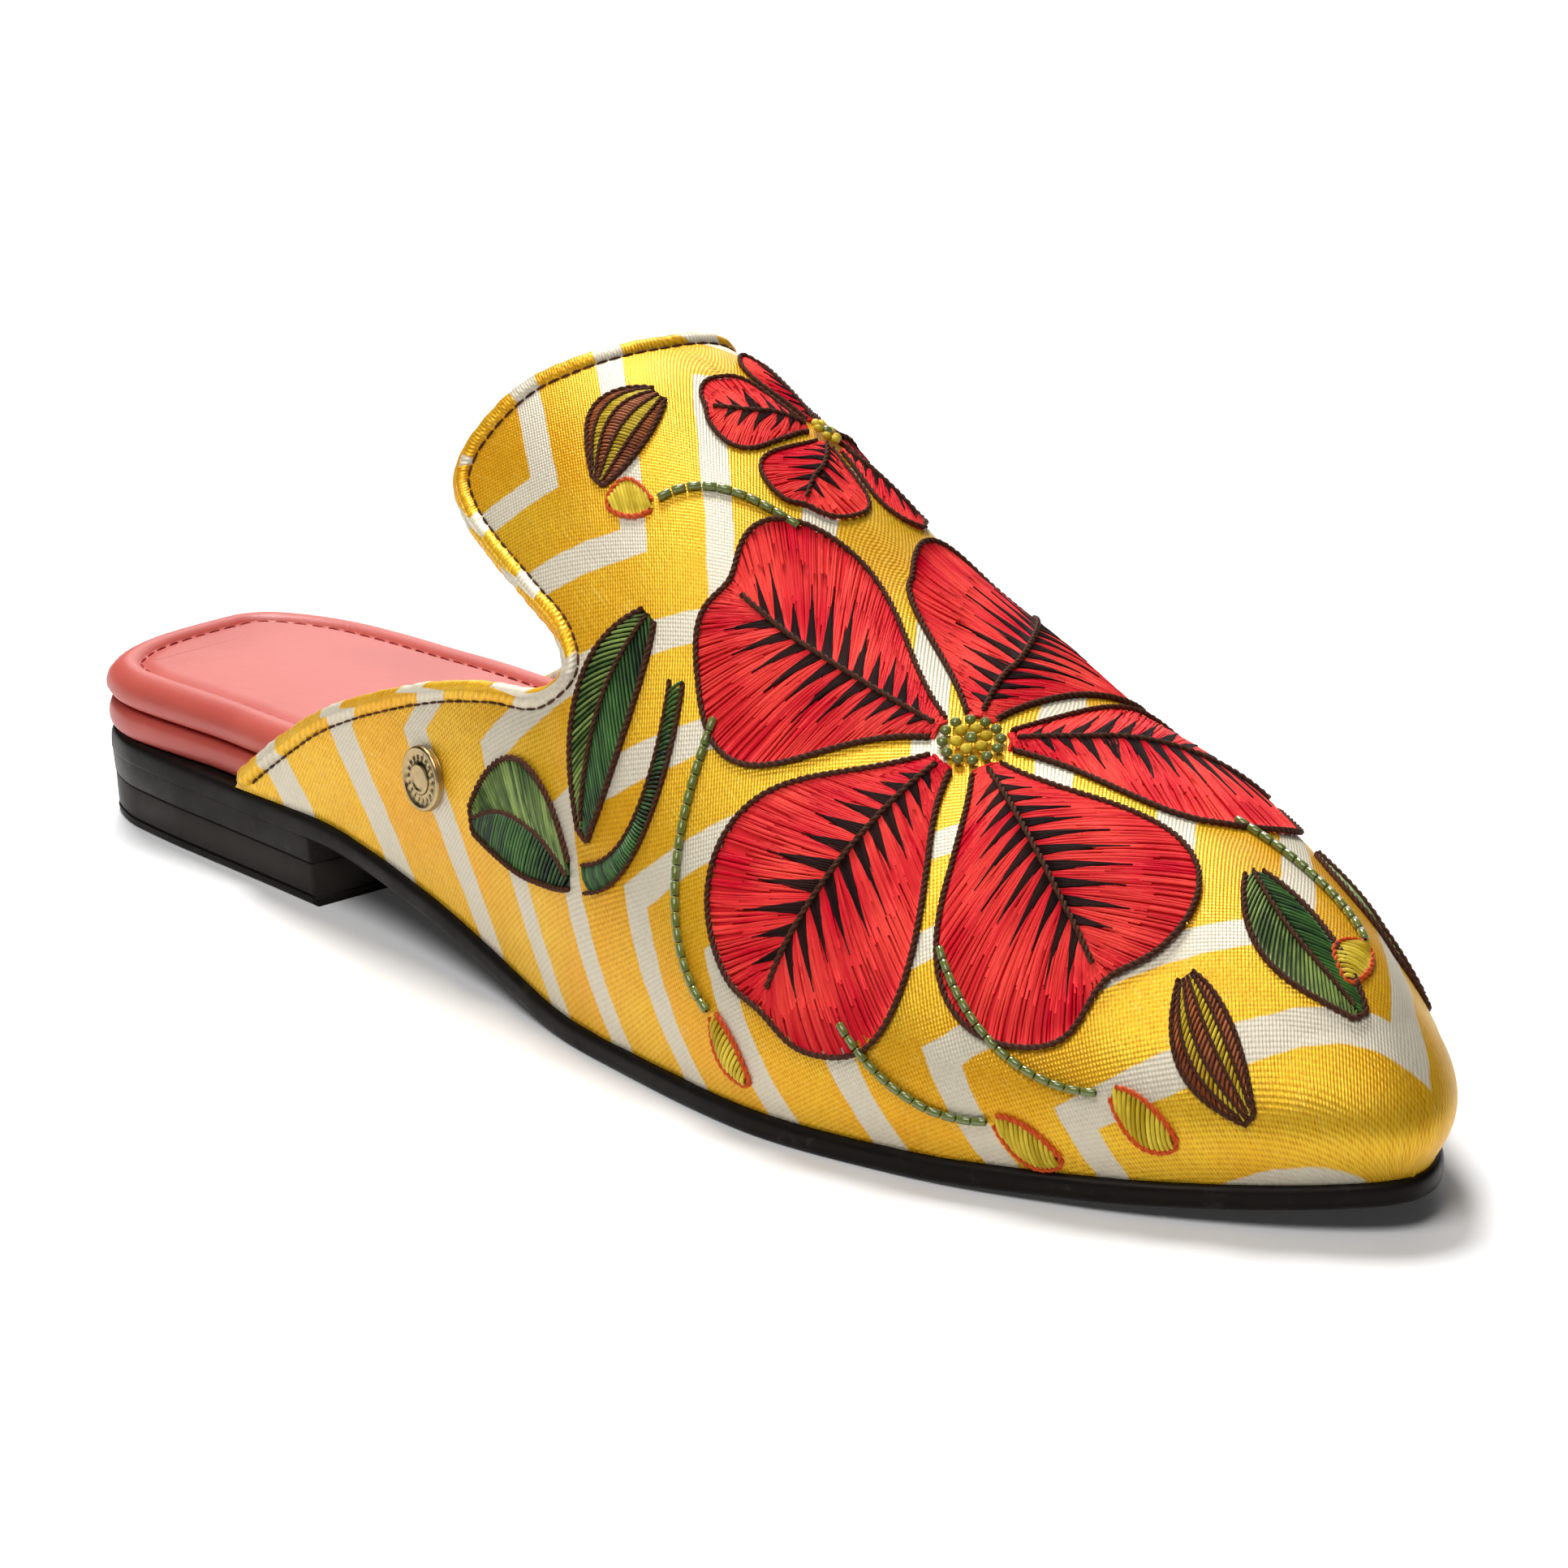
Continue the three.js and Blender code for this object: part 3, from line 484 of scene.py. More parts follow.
# points along the topline, moved into the material by a distance on the surface
def toplineAt(inward, count=900):
    scale = 0.85
    knots = np.stack([topline["x"], np.array(topline["turn"]) * scale], -1)
    knots = np.vstack([2 * knots[0] - knots[1], knots, 2 * knots[-1] - knots[-2]])
    line = []
    for a, b, c, d in zip(knots[:-3], knots[1:-2], knots[2:-1], knots[3:]):
        da, db, dc = (np.linalg.norm(q - p) ** 0.5 for p, q in ((a, b), (b, c), (c, d)))
        m0 = ((b - a) / da - (c - a) / (da + db) + (c - b) / db) * db
        m1 = ((c - b) / db - (d - b) / (db + dc) + (d - c) / dc) * db
        s = np.linspace(0, 1, 24, endpoint=False)[:, None]
        line.append((1 + 2 * s) * (1 - s) ** 2 * b + s * (1 - s) ** 2 * m0
                    + s * s * (3 - 2 * s) * c + s * s * (s - 1) * m1)
    line = np.vstack(line + [knots[-2:-1]])
    x = line[:, 0]
    turn = np.clip(np.radians(line[:, 1] / scale), 0, np.pi)
    place = upperAt(x, turn)
    run = unit(np.gradient(place, axis=0))
    inwards = np.cross(run, normalAt(x, np.clip(turn, 0.01, 3.13))) * inward
    mid = np.clip(turn, 0.02, np.pi - 0.02)
    dx = upperAt(x + 0.5, turn) - upperAt(x - 0.5, turn)
    dt = (upperAt(x, mid + 0.01) - upperAt(x, mid - 0.01)) * 50
    xx, xt, tt = (dx * dx).sum(-1), (dx * dt).sum(-1), (dt * dt).sum(-1)
    px, pt = (dx * inwards).sum(-1), (dt * inwards).sum(-1)
    det = xx * tt - xt * xt
    x = x + (tt * px - xt * pt) / det
    turn = turn + (xx * pt - xt * px) / det
    keep = (turn >= 0) & (turn <= np.pi)
    x, turn = x[keep], turn[keep]
    turn[0], turn[-1] = 0, np.pi
    far = lengthAlong(upperAt(x, turn))
    at = np.linspace(0, far[-1], count)
    return np.interp(at, far, x), np.interp(at, far, turn), at


# the upper: satin outside, leather lining inside
def buildUpper():
    size = {"columns": 240, "rows": 130, "tuck": 1.4, "lift": 0.1}
    ex, et, _ = toplineAt(size["tuck"], size["columns"])
    s = np.linspace(0, 1, size["rows"])[:, None]
    even = np.linspace(0, np.pi, size["columns"])
    turn = et + (even - et) * ease(s)
    x = ex + (length - 0.02 - ex) * np.sin(s * np.pi / 2)
    outer = offUpper(x, turn, np.zeros(x.shape))
    inner = upperAt(x, turn) - normalAt(x, turn) * form["wall"]
    for skin in (outer, inner):
        skin[-1] = skin[-1].mean(0)
        for edge in (0, -1):
            skin[:, edge, 2] = bed(skin[:, edge, 0]) + size["lift"]
    points = np.concatenate([outer.reshape(-1, 3), inner.reshape(-1, 3)])
    n = x.size
    cols, rows = size["columns"], size["rows"]
    front = gridFaces(rows, cols)
    back = gridFaces(rows, cols, n, flip=True)
    j = np.arange(cols - 1)
    rim = np.stack([j, j + 1, n + j + 1, n + j], -1)
    i = np.arange(rows - 1) * cols
    low = np.stack([i, n + i, n + i + cols, i + cols], -1)
    i = i + cols - 1
    high = np.stack([i, i + cols, n + i + cols, n + i], -1)
    faces = np.concatenate([front, back, rim, low, high])
    slots = np.zeros(len(faces))
    slots[len(front):len(front) + len(back)] = 1
    fields = {"along": np.tile(x.ravel(), 2), "across": np.tile(acrossOf(x, turn).ravel(), 2)}
    obj = meshObject("upperSatin", points, faces, [satin, leather], fields, slots)
    settle(weld(obj), ["upper"])


buildUpper()
print("upper built")


# tube of given radius along a path with frames
def tubeMesh(centre, out, radius, sides):
    run = unit(np.gradient(centre, axis=0))
    out = unit(out - run * (out * run).sum(-1, keepdims=True))
    side = np.cross(run, out)
    a = np.linspace(0, 2 * np.pi, sides, endpoint=False)
    r = np.broadcast_to(np.asarray(radius, float), (len(centre),))[:, None, None]
    ring = out[:, None, :] * np.cos(a)[None, :, None] + side[:, None, :] * np.sin(a)[None, :, None]
    points = centre[:, None, :] + ring * r
    return points.reshape(-1, 3), tubeFaces(len(centre), sides)


# rolled binding of the same satin along the whole topline
def buildBinding():
    size = {"radius": 1.5, "count": 520, "sides": 14, "sink": 0.5, "clear": 0.75,
            "twist": 0.25, "crumple": 0.035, "pucker": 0.025, "pitch": 2.9, "swell": 0.02, "rate": 0.61,
            "endRings": 4.0}
    x, turn, at = toplineAt(size["radius"], size["count"])
    centre = upperAt(x, turn) - normalAt(x, turn) * size["sink"]
    keep = centre[:, 2] > bed(centre[:, 0]) + size["radius"] * size["clear"]
    x, turn, at, centre = x[keep], turn[keep], at[keep], centre[keep]
    ripple = 1 + size["pucker"] * np.sin(at * 2 * np.pi / size["pitch"])
    ripple = ripple + size["swell"] * np.sin(at * size["rate"] + 1.0)
    ends = np.minimum(np.arange(len(x)) + 1, np.arange(len(x), 0, -1))
    taper = np.minimum(1, np.sqrt(ends / size["endRings"]))
    points, faces = tubeMesh(centre, normalAt(x, turn), size["radius"] * ripple * taper, size["sides"])
    axis = np.repeat(centre, size["sides"], 0)
    crumple = rng.normal(0, 1, (len(x) + 2, size["sides"]))
    crumple = (crumple[:-2] + crumple[1:-1] + crumple[2:]) / 3
    points = axis + (points - axis) * (1 + size["crumple"] * crumple.reshape(-1, 1))
    around = np.tile(np.linspace(0, 2 * np.pi * size["radius"], size["sides"], endpoint=False), len(x))
    fields = {"along": np.repeat(x, size["sides"]) + around * size["twist"],
              "across": np.repeat(acrossOf(x, turn), size["sides"]) + around * size["twist"]}
    settle(meshObject("toplineBinding", points, faces, [satin], fields), ["topline_binding"])


buildBinding()
print("binding built")


# gathers pieces of one colour into one object
class Bundle:
    def __init__(self):
        self.points, self.faces, self.tones, self.total = [], [], [], 0

    def add(self, made):
        points, faces, tone = made
        self.points.append(points)
        self.faces.append(faces + self.total)
        self.tones.append(np.broadcast_to(tone, len(points)))
        self.total += len(points)

    def joined(self):
        return np.vstack(self.points), np.vstack(self.faces), np.concatenate(self.tones)

    def build(self, name, material, slot, nodes=()):
        points, faces, tones = self.joined()
        settle(meshObject(name, points, faces, [material], {"tone": tones}), nodes)


# small capsule stitches lying along a path, out points away from the material
def stitchRow(name, centre, out, far, material, slot, sew):
    row = Bundle()
    shape = np.array([[0, 0.25], [0.12, 0.8], [0.5, 1.0], [0.88, 0.8], [1, 0.25]])
    start = far[0] + sew["gap"]
    while start + sew["stitch"] < far[-1]:
        long = sew["stitch"] * (1 + 0.08 * rng.standard_normal())
        at = start + shape[:, 0] * long
        normal = unit(alongPath(at, far, out))
        arch = 0.35 * sew["radius"] * np.sin(np.pi * shape[:, :1])
        line = alongPath(at, far, centre) + normal * (sew["lift"] + arch)
        row.add((*tubeMesh(line, normal, sew["radius"] * shape[:, 1], 6), rng.random()))
        start += long + sew["gap"]
    row.build(name, material, slot)


# brown stitches just inside the binding
def buildToplineStitches():
    sew = {"inward": 2.95, "clear": 1.5, "stitch": 1.7, "gap": 0.24, "radius": 0.20, "lift": 0.04}
    x, turn, at = toplineAt(sew["inward"])
    centre = offUpper(x, turn, np.zeros(len(x)))
    keep = centre[:, 2] > bed(centre[:, 0]) + sew["clear"]
    out = normalAt(x, turn)
    stitchRow("toplineStitches", centre[keep], out[keep], at[keep], floss["brown"], "satin", sew)


buildToplineStitches()
print("topline stitches built")


# place along the sole, theta runs from the back of the heel to the toe
def outlineX(theta):
    return form["heelBack"] + (length - form["heelBack"]) * (1 - np.cos(theta)) / 2


# sole outline moved inwards along its own normal
def outlineAt(theta, lateral, inset):
    def at(q):
        x = outlineX(q)
        return np.stack([x, centreLine(x) + np.where(lateral, -1, 1) * halfWidth(x, lateral)], -1)
    step = 1e-3
    run = unit(at(np.minimum(theta + step, np.pi)) - at(np.maximum(theta - step, 0)))
    sign = 1.0 if lateral else -1.0
    normal = np.stack([run[:, 1], -run[:, 0]], -1) * sign
    normal[theta < 1e-9] = (-1, 0)                            # back of the heel and tip of the toe
    normal[theta > np.pi - 1e-9] = (1, 0)
    return at(theta) - normal * np.asarray(inset)[:, None]


outlineThetas = np.linspace(0, np.pi, 200)
outlineXs = outlineX(outlineThetas)


# rings of the outline, each with its inset and height, joined into a closed plate
def buildPlate(name, node, material, rings, thetas=outlineThetas, breast=None):
    points = []
    for inset, z in rings:
        loop = []
        for lateral in (True, False):
            p = outlineAt(thetas, lateral, inset)
            if breast:
                p[-1, 0] = breast["x"] - breast["lean"] * z[-1]
            loop.append(np.column_stack([p, z]))
        points.append(np.vstack([loop[0], loop[1][::-1]]))
    m = 2 * len(thetas)
    j = np.arange(len(thetas) - 1)
    bottom = np.stack([j, m - 1 - j, m - 2 - j, j + 1], -1)
    top = ringCap((len(rings) - 1) * m, m)
    faces = np.vstack([gridFaces(len(rings), m, closed=True, flip=True), bottom, top])
    return settle(weld(meshObject(name, np.vstack(points), faces, [material])), [node])


# outsole with a rounded edge, its lower side flush with the heel
def buildOutsole():
    edge = {"inset": [0.7, 0.3, 0.1, 0.0, 0.0, 0.05, 0.2, 0.5, 0.9],
            "rise": [0, 0.06, 0.18, 0.34, 0.52, 0.70, 0.85, 0.95, 1.0],
            "flush": 0.95, "flushRise": 0.4, "heelEnd": 78, "heelFade": 12}
    heel = edge["flush"] * ease((edge["heelEnd"] - outlineXs) / edge["heelFade"])
    rings = []
    for a, b in zip(edge["inset"], edge["rise"]):
        inset = a * (1 - heel * (b < edge["flushRise"]))
        rings.append((inset, riseOf(outlineXs / length) + b * form["soleThick"]))
    buildPlate("outsole", "outsole", rubber, rings)


# lifts of the stacked heel from the outsole down: heights, insets at the lower and upper edge
liftKeys = ("name", "node", "material", "slot", "low", "high", "insetLow", "insetHigh", "crown")
lifts = rowsOf(liftKeys, [
    ("heelLiftUpper", "heel_lift_upper", rubber, "rubber", 6.32, 10.1, 0.45, 0.12, 0.1),
    ("heelLiftLower", "heel_lift_lower", lift, "lift", 1.32, 6.3, 0.85, 0.55, 1.0),
    ("heelTopPiece", "heel_top_piece", rubber, "rubber", 0.0, 1.3, 0.9, 0.75, 1.0),
])


# one lift with softened edges and a breast that leans under the waist
def buildLift(row):
    breast = {"x": 71.0, "lean": 0.09}
    soft = {"high": 0.22, "knee": 0.35, "inset": 0.3, "kneeInset": 0.08}
    count = 70
    knee = soft["high"] * soft["knee"]
    low, high, crown = row["low"], row["high"], row["crown"]
    reach = (breast["x"] - form["heelBack"]) / (length - form["heelBack"])
    thetas = np.linspace(0, math.acos(1 - 2 * reach), count)
    rings = []
    for inset, z in ((row["insetLow"] + soft["inset"], low),
                     (row["insetLow"] + soft["kneeInset"], low + knee),
                     (row["insetLow"], low + soft["high"]),
                     (row["insetHigh"], high - soft["high"]),
                     (row["insetHigh"] + soft["kneeInset"] * crown, high - knee),
                     (row["insetHigh"] + soft["inset"] * crown, high)):
        rings.append((np.full(count, inset), np.full(count, z)))
    buildPlate(row["name"], row["node"], row["material"], rings, thetas, breast)


buildOutsole()
for row in lifts:
    buildLift(row)
print("sole and heel built")

boardSteps = rowsOf(("inset", "from", "span"), [(2.3, 18, 30), (1.4, 52, 26)])


# how far the board stays inside the sole's outline, more under the upper
def boardInset(x):
    steps = sum(row["inset"] * ease((x - row["from"]) / row["span"]) for row in boardSteps)
    return steps - 0.1                                        # it stands out a little round the heel


# coral wrapped board, its edge shows round the heel
def buildMidsole():
    edge = {"inset": [0.9, 0.25, 0.0, -0.1, 0.0, 0.3, 1.1], "rise": [0, 0.12, 0.3, 0.5, 0.72, 0.92, 1.0],
            "lift": 0.05, "thick": form["boardThick"] + 0.5}
    rings = []
    for a, b in zip(edge["inset"], edge["rise"]):
        rings.append((boardInset(outlineXs) + a, bed(outlineXs) + edge["lift"] + b * edge["thick"]))
    buildPlate("midsoleWrap", "midsole", leather, rings)


# padded insole with a rolled border and a stitched groove
def buildInsole():
    edge = {"inset": [3.2, 1.4, 0.45, -0.05, -0.05, 0.3, 1.1, 2.2, 3.2, 4.1, 4.75, 5.05, 5.4, 6.2, 7.6],
            "rise": [0, 0.05, 0.16, 0.31, 0.49, 0.67, 0.84, 0.955, 1.0, 0.96, 0.87, 0.81, 0.83, 0.90, 0.94]}
    sew = {"inset": 5.05, "rise": 0.80, "end": 1.9, "stitch": 1.9, "gap": 0.9, "radius": 0.22, "lift": 0.16}
    base = form["gap"] * 2 + form["boardThick"]

    def insetOf(x, a):
        narrow = 1 - 0.8 * ease((x / length - 0.70) / 0.2)         # the border closes up towards the toe
        return boardInset(x) - form["gap"] + a * narrow
    rings = []
    for a, b in zip(edge["inset"], edge["rise"]):
        rings.append((insetOf(outlineXs, a), bed(outlineXs) + base + b * form["padThick"]))
    obj = buildPlate("insolePad", "insole", leather, rings)
    q = np.linspace(0, sew["end"], 500)
    inset = insetOf(outlineX(q), sew["inset"])
    loop = np.vstack([outlineAt(q, True, inset)[::-1], outlineAt(q, False, inset)[1:]])
    centre = np.column_stack([loop, bed(loop[:, 0]) + base + sew["rise"] * form["padThick"]])
    out = np.tile([0.0, 0.0, 1.0], (len(centre), 1))
    stitchRow("insoleStitches", centre, out, lengthAlong(centre), floss["coral"], "coral", sew)


buildMidsole()
buildInsole()
print("midsole and insole built")


# brass rivet, a ring of plain pits round a low dome; the profile is radius and height
def buildRivet():
    place = {"x": np.array(100.0), "turn": np.radians(12.3), "seat": 0.1, "pit": 0.12}
    profile = np.array([[4.5, 0.0], [4.62, 0.3], [4.6, 0.75], [4.45, 1.02], [4.2, 1.1], [3.98, 1.02],
                        [3.85, 0.9], [3.35, 0.86], [2.75, 0.86], [2.3, 0.9], [2.15, 1.08], [1.95, 1.22],
                        [1.7, 1.2], [1.55, 1.08], [1.0, 1.1], [0.5, 1.12], [0.02, 1.12]])
    sides = 108
    a = np.linspace(0, 2 * np.pi, sides, endpoint=False)
    marks = np.arange(sides) % 6 < 3                        # where the pits lie round the ring
    band = np.isin(np.arange(len(profile)), (7, 8))[:, None]
    ring = np.stack([profile[:, :1] * np.cos(a), profile[:, :1] * np.sin(a),
                     profile[:, 1:] - place["pit"] * (band & marks)], -1).reshape(-1, 3)
    out = normalAt(place["x"], place["turn"])
    right = unit(np.cross([0, 0, 1.0], out))
    up = np.cross(out, right)
    seat = offUpper(place["x"], place["turn"], place["seat"])
    points = seat + ring[:, :1] * right + ring[:, 1:2] * up + ring[:, 2:] * out
    faces = tubeFaces(len(profile), sides)
    slots = np.zeros(len(faces))
    slots[7 * sides:8 * sides] = marks
    slots[9 * sides:10 * sides] = 1
    settle(meshObject("rivet", points, faces, [brass, patina], slots=slots), ["rivet"])


buildRivet()
print("rivet built")


# thread styles: height of the crown, tone shared by neighbours, own tone, flecks with painted glints,
# painted shade at the ends, section
flatArch = ((-1, 1), (-0.5, 0.25), (0.5, 0.25), (1, 1))
roundArch = ((-1, 1), (-0.8, 0.42), (-0.3, 0.05), (0.3, 0.05), (0.8, 0.42), (1, 1))
silk = {"crown": 0.32, "streak": 0.12, "own": 0.085, "fleckGlint": 0.06, "sink": 0.22, "arch": flatArch}
stroke = {"crown": 0.24, "streak": 0.15, "own": 0.11, "fleckGlint": 0.07, "sink": 0.45, "arch": flatArch}
twine = {"crown": 0.42, "streak": 0.07, "own": 0.22, "fleckGlint": 0.16, "sink": 0.15, "arch": roundArch}


# a bundle of threads lying on the upper: x and across per thread and sample, height above the satin
def flossMesh(x, across, high, width, style):
    turn = turnOf(x, across)
    normal = normalAt(x, turn)
    centre = offUpper(x, turn, high)
    run = unit(np.gradient(centre, axis=1))
    side = unit(np.cross(normal, run)) * (np.broadcast_to(width, x.shape)[..., None] / 2)
    low = normal * style["crown"]
    points = np.stack([centre + side * a - low * b for a, b in style["arch"]], 2)
    n, s = x.shape
    m = len(style["arch"])
    strips = (tubeFaces(s, m)[None] + (np.arange(n) * s * m)[:, None, None]).reshape(-1, 4)
    shared = np.convolve(rng.normal(0, 1, n + 4), np.ones(5) / 5 ** 0.5, "valid")    # streak of neighbours
    strand = 0.50 + style["streak"] * shared + rng.normal(0, style["own"], n)
    threadSheen = np.sin(0.42 * x + 0.25 * across) + np.sin(0.27 * x - 0.37 * across + 1.3)    # painted sheen in slow waves
    endShade = 1 - style["sink"] * np.abs(np.linspace(-1, 1, s)) ** 4     # painted shade darkens the thread ends where they sink into the cloth
    # random flecks with painted glints along each thread, times the painted shade at the ends
    tone = (strand[:, None] + 0.17 * threadSheen + rng.normal(0, style["fleckGlint"], x.shape)) * endShade
    tone = np.repeat(np.clip(tone, 0, 1)[..., None], m, 2)
    return points.reshape(-1, 3), strips, tone.ravel()


# stitched underlay that fills a motif below its top threads; its deep tone is painted shade in the gaps
# between them
def underlayMesh(spot, pad, tone, drop=0.42):
    rows, cols = 16, 25
    swing = np.sin(np.linspace(-np.pi / 2, np.pi / 2, cols))
    u, v = np.meshgrid(np.linspace(0, 1, rows), swing, indexing="ij")
    x, across = spot(u, v)
    high = np.maximum(padHeight(pad, u, v) - drop, 0.1)
    high[:, 0] = high[:, -1] = 0
    high[0] = high[-1] = 0
    return offUpper(x, turnOf(x, across), high).reshape(-1, 3), gridFaces(rows, cols), tone


# two twisted strands along a path on the upper
def ropeMesh(x, across, high, strand, pitch=2.1, step=0.40):
    far = lengthAlong(upperAt(x, turnOf(x, across)))
    at = np.arange(0, far[-1], step)
    x, across = np.interp(at, far, x), np.interp(at, far, across)
    high = np.interp(at, far, np.broadcast_to(high, far.shape))
    turn = turnOf(x, across)
    normal = normalAt(x, turn)
    centre = offUpper(x, turn, high)
    side = np.cross(unit(np.gradient(centre, axis=0)), normal)
    pair = Bundle()
    for k in range(2):
        a = at * 2 * np.pi / pitch + k * np.pi
        line = centre + (normal * np.cos(a)[:, None] + side * np.sin(a)[:, None]) * strand * 0.8
        pair.add((*tubeMesh(line, normal, strand, 6), 0.5))
    points, faces, tone = pair.joined()
    return points, faces, tone + 0.3 * np.sin(np.arange(len(points)) * 0.7)


# flowers: place on the vamp, heading of the first petal, core radius, petal length, half spread in degrees
blooms = [
    {"name": "bloom", "x": 180, "across": 12, "heading": 20, "core": 5.0, "length": 39, "spread": 33,
     "pad": 1.15, "threads": 136, "thread": 0.46, "strokes": 11, "stroke": 0.52, "cord": 0.26},
    {"name": "blossom", "x": 127, "across": -8, "heading": 50, "core": 3.2, "length": 14, "spread": 32,
     "pad": 0.95, "threads": 60, "thread": 0.40, "strokes": 6, "stroke": 0.36, "cord": 0.21},
]


# outline of a petal: a round tip with a slight notch and small waves
def petalReach(k, v):
    tip = 0.56 + 0.44 * np.sqrt(np.maximum(1 - np.abs(v) ** 2.6, 0))
    notch = 1 - 0.06 * np.exp(-(v / 0.2) ** 2)
    return tip * notch * (1 + 0.018 * np.sin(v * 7.0 + k * 1.7) * (1 - np.abs(v)))


# share of a petal's spread that is open at u
def petalFan(u):
    return 0.62 + 0.38 * np.sin(u * np.pi / 2)


# place on the vamp, u from the core to the tip, v from edge to edge
def petalSpot(bloom, k, u, v):
    v = np.asarray(v, float)
    a = np.radians(bloom["heading"] + 72 * k + v * bloom["spread"] * petalFan(u))
    r = bloom["core"] + u * bloom["length"] * petalReach(k, v)
    return bloom["x"] + r * np.cos(a), bloom["across"] + r * np.sin(a)


# u and v of a place on a petal, the reverse of petalSpot
def petalPlace(bloom, k, x, across):
    dx, dy = x - bloom["x"], across - bloom["across"]
    r = np.hypot(dx, dy) - bloom["core"]
    a = (np.degrees(np.arctan2(dy, dx)) - bloom["heading"] - 72 * k + 180) % 360 - 180
    u = np.full(r.shape, 0.6)
    for _ in range(8):
        v = np.clip(a / (bloom["spread"] * petalFan(u)), -1, 1)
        u = clip01(r / (bloom["length"] * petalReach(k, v)))
    return u, v


# padding under a motif, highest in the middle
def padHeight(pad, u, v):
    return pad * (0.30 + 0.70 * (1 - v * v) * np.sin(np.pi * clip01(0.15 + 0.75 * u)))


# edge of a half petal in equal steps, e runs from the core to the tip
def petalEdge(bloom, k, half, e):
    u = np.concatenate([np.linspace(0, 1, 60), np.ones(200)])
    v = half * np.concatenate([np.ones(60), 1 - np.linspace(0, 1, 201)[1:] ** 2])
    x, across = petalSpot(bloom, k, u, v)
    far = lengthAlong(np.stack([x, across], -1))
    return np.interp(e * far[-1], far, x), np.interp(e * far[-1], far, across)


# places between two others, s from 0 to 1
def between(p, q, s):
    return p[0] + (q[0] - p[0]) * s, p[1] + (q[1] - p[1]) * s


# a twisted cord along a line of u and v on a motif
def addCord(bundle, spot, u, v, pad, lift, *cord):
    bundle.add(ropeMesh(*spot(u, v), padHeight(pad, u, v) + lift, *cord))


# straight threads from the midrib to the edge of each half petal
def petalThread(bloom, k, e, half, s, slant=0.0):
    root = petalSpot(bloom, k, 0.93 * e ** 1.15, 0 * e)
    x, across = between(root, petalEdge(bloom, k, half, clip01(e + slant)), s)
    return x, across, padHeight(bloom["pad"], *petalPlace(bloom, k, x, across))


def buildPetals(bloom):
    courses = ((0.34, 1.0, 0.0), (0.0, 0.64, 0.08))      # long and short stitches: from, to, lift
    sew = {"ragged": 0.07, "slant": 0.008, "uneven": 0.03}
    vein = {"from": 0.11, "span": 0.80, "reach": 0.52, "ragged": 0.06, "fan": 0.22, "lift": 0.20,
            "dip": 0.06, "taper": 0.72}
    cord = {"start": 0.02, "ribEnd": 0.93, "edgeLift": 0.08, "ribLift": 0.18}
    red, ink, brown = Bundle(), Bundle(), Bundle()
    s = np.linspace(0, 1, 6)[None, :]
    e = np.linspace(0.0, 1.0, bloom["threads"])[:, None]
    pad, strokes = bloom["pad"], bloom["strokes"]
    rise = np.linspace(cord["start"], 1, 30)
    edge = np.concatenate([rise, np.ones(90), rise[::-1]])
    swing = np.concatenate([-np.ones(30), np.sin(np.linspace(-np.pi / 2, np.pi / 2, 90)), np.ones(30)])
    rib = np.linspace(cord["start"], cord["ribEnd"], 40)
    for k in range(5):
        def spotOn(u, v, k=k):
            return petalSpot(bloom, k, u, v)
        red.add(underlayMesh(spotOn, pad, 0.3))
        for half in (-1, 1):
            for lo, hi, over in courses:
                ragged = rng.normal(0, sew["ragged"], (2, *e.shape))
                first = lo + ragged[0] * (lo > 0)
                last = hi + ragged[1] * (hi < 1)
                slant = rng.normal(0, sew["slant"], e.shape)
                x, across, high = petalThread(bloom, k, e, half, first + (last - first) * s, slant)
                lay = high + over * (1 - s) + rng.normal(0, sew["uneven"], e.shape)
                red.add(flossMesh(x, across, lay, bloom["thread"], silk))
            spot = (np.arange(strokes)[:, None] + 0.25 + 0.25 * half) / strokes
            spot = vein["from"] + vein["span"] * spot
            reach = vein["reach"] + rng.normal(0, vein["ragged"], spot.shape)
            tip = petalThread(bloom, k, spot, half, reach)
            high = petalThread(bloom, k, spot, half, s * reach)[2] + vein["lift"] - vein["dip"] * s
            width = bloom["stroke"] * (1 - vein["taper"] * s)
            for shift in (-1.0, -0.5, 0.0, 0.5, 1.0):     # threads of one stroke meet in its point
                root = petalThread(bloom, k, spot + shift * vein["fan"] / strokes, half, 0 * reach)
                part = s * (1 - vein["fan"] * abs(shift) + rng.normal(0, vein["ragged"], spot.shape))
                ink.add(flossMesh(*between(root, tip, part), high, width, stroke))
        addCord(brown, spotOn, edge, swing, pad, cord["edgeLift"], bloom["cord"])
        addCord(brown, spotOn, rib, 0 * rib, pad, cord["ribLift"], bloom["cord"])
    nodes = [f"{bloom['name']}_petal_{k + 1}" for k in range(5)]
    red.build(bloom["name"] + "RedThreads", floss["red"], "petal_red", nodes)
    ink.build(bloom["name"] + "VeinThreads", floss["ink"], "petal_red")
    brown.build(bloom["name"] + "Outline", floss["brown"], "petal_red")


for bloom in blooms:
    buildPetals(bloom)
    print(bloom["name"], "petals built")

# leaves and buds: root on the vamp, heading, length and width
sprigKeys = ("name", "x", "across", "heading", "length", "width")
leaves = rowsOf(sprigKeys, [
    ("leaf_notch", 133, 37, 78, 25, 11),
    ("leaf_quarter", 137, 67, 158, 27, 11),
    ("leaf_toe", 222, 2, 6, 24, 10),
    ("leaf_medial", 161, -32, 250, 26, 11),
    ("leaf_inner_toe", 218, -15, 336, 21, 9),
])
buds = rowsOf(sprigKeys, [
    ("bud_tongue", 113, 11, 84, 20, 10),
    ("bud_toe", 227, 19, 18, 15, 8),
    ("bud_medial", 119, -33, 290, 15, 9),
])


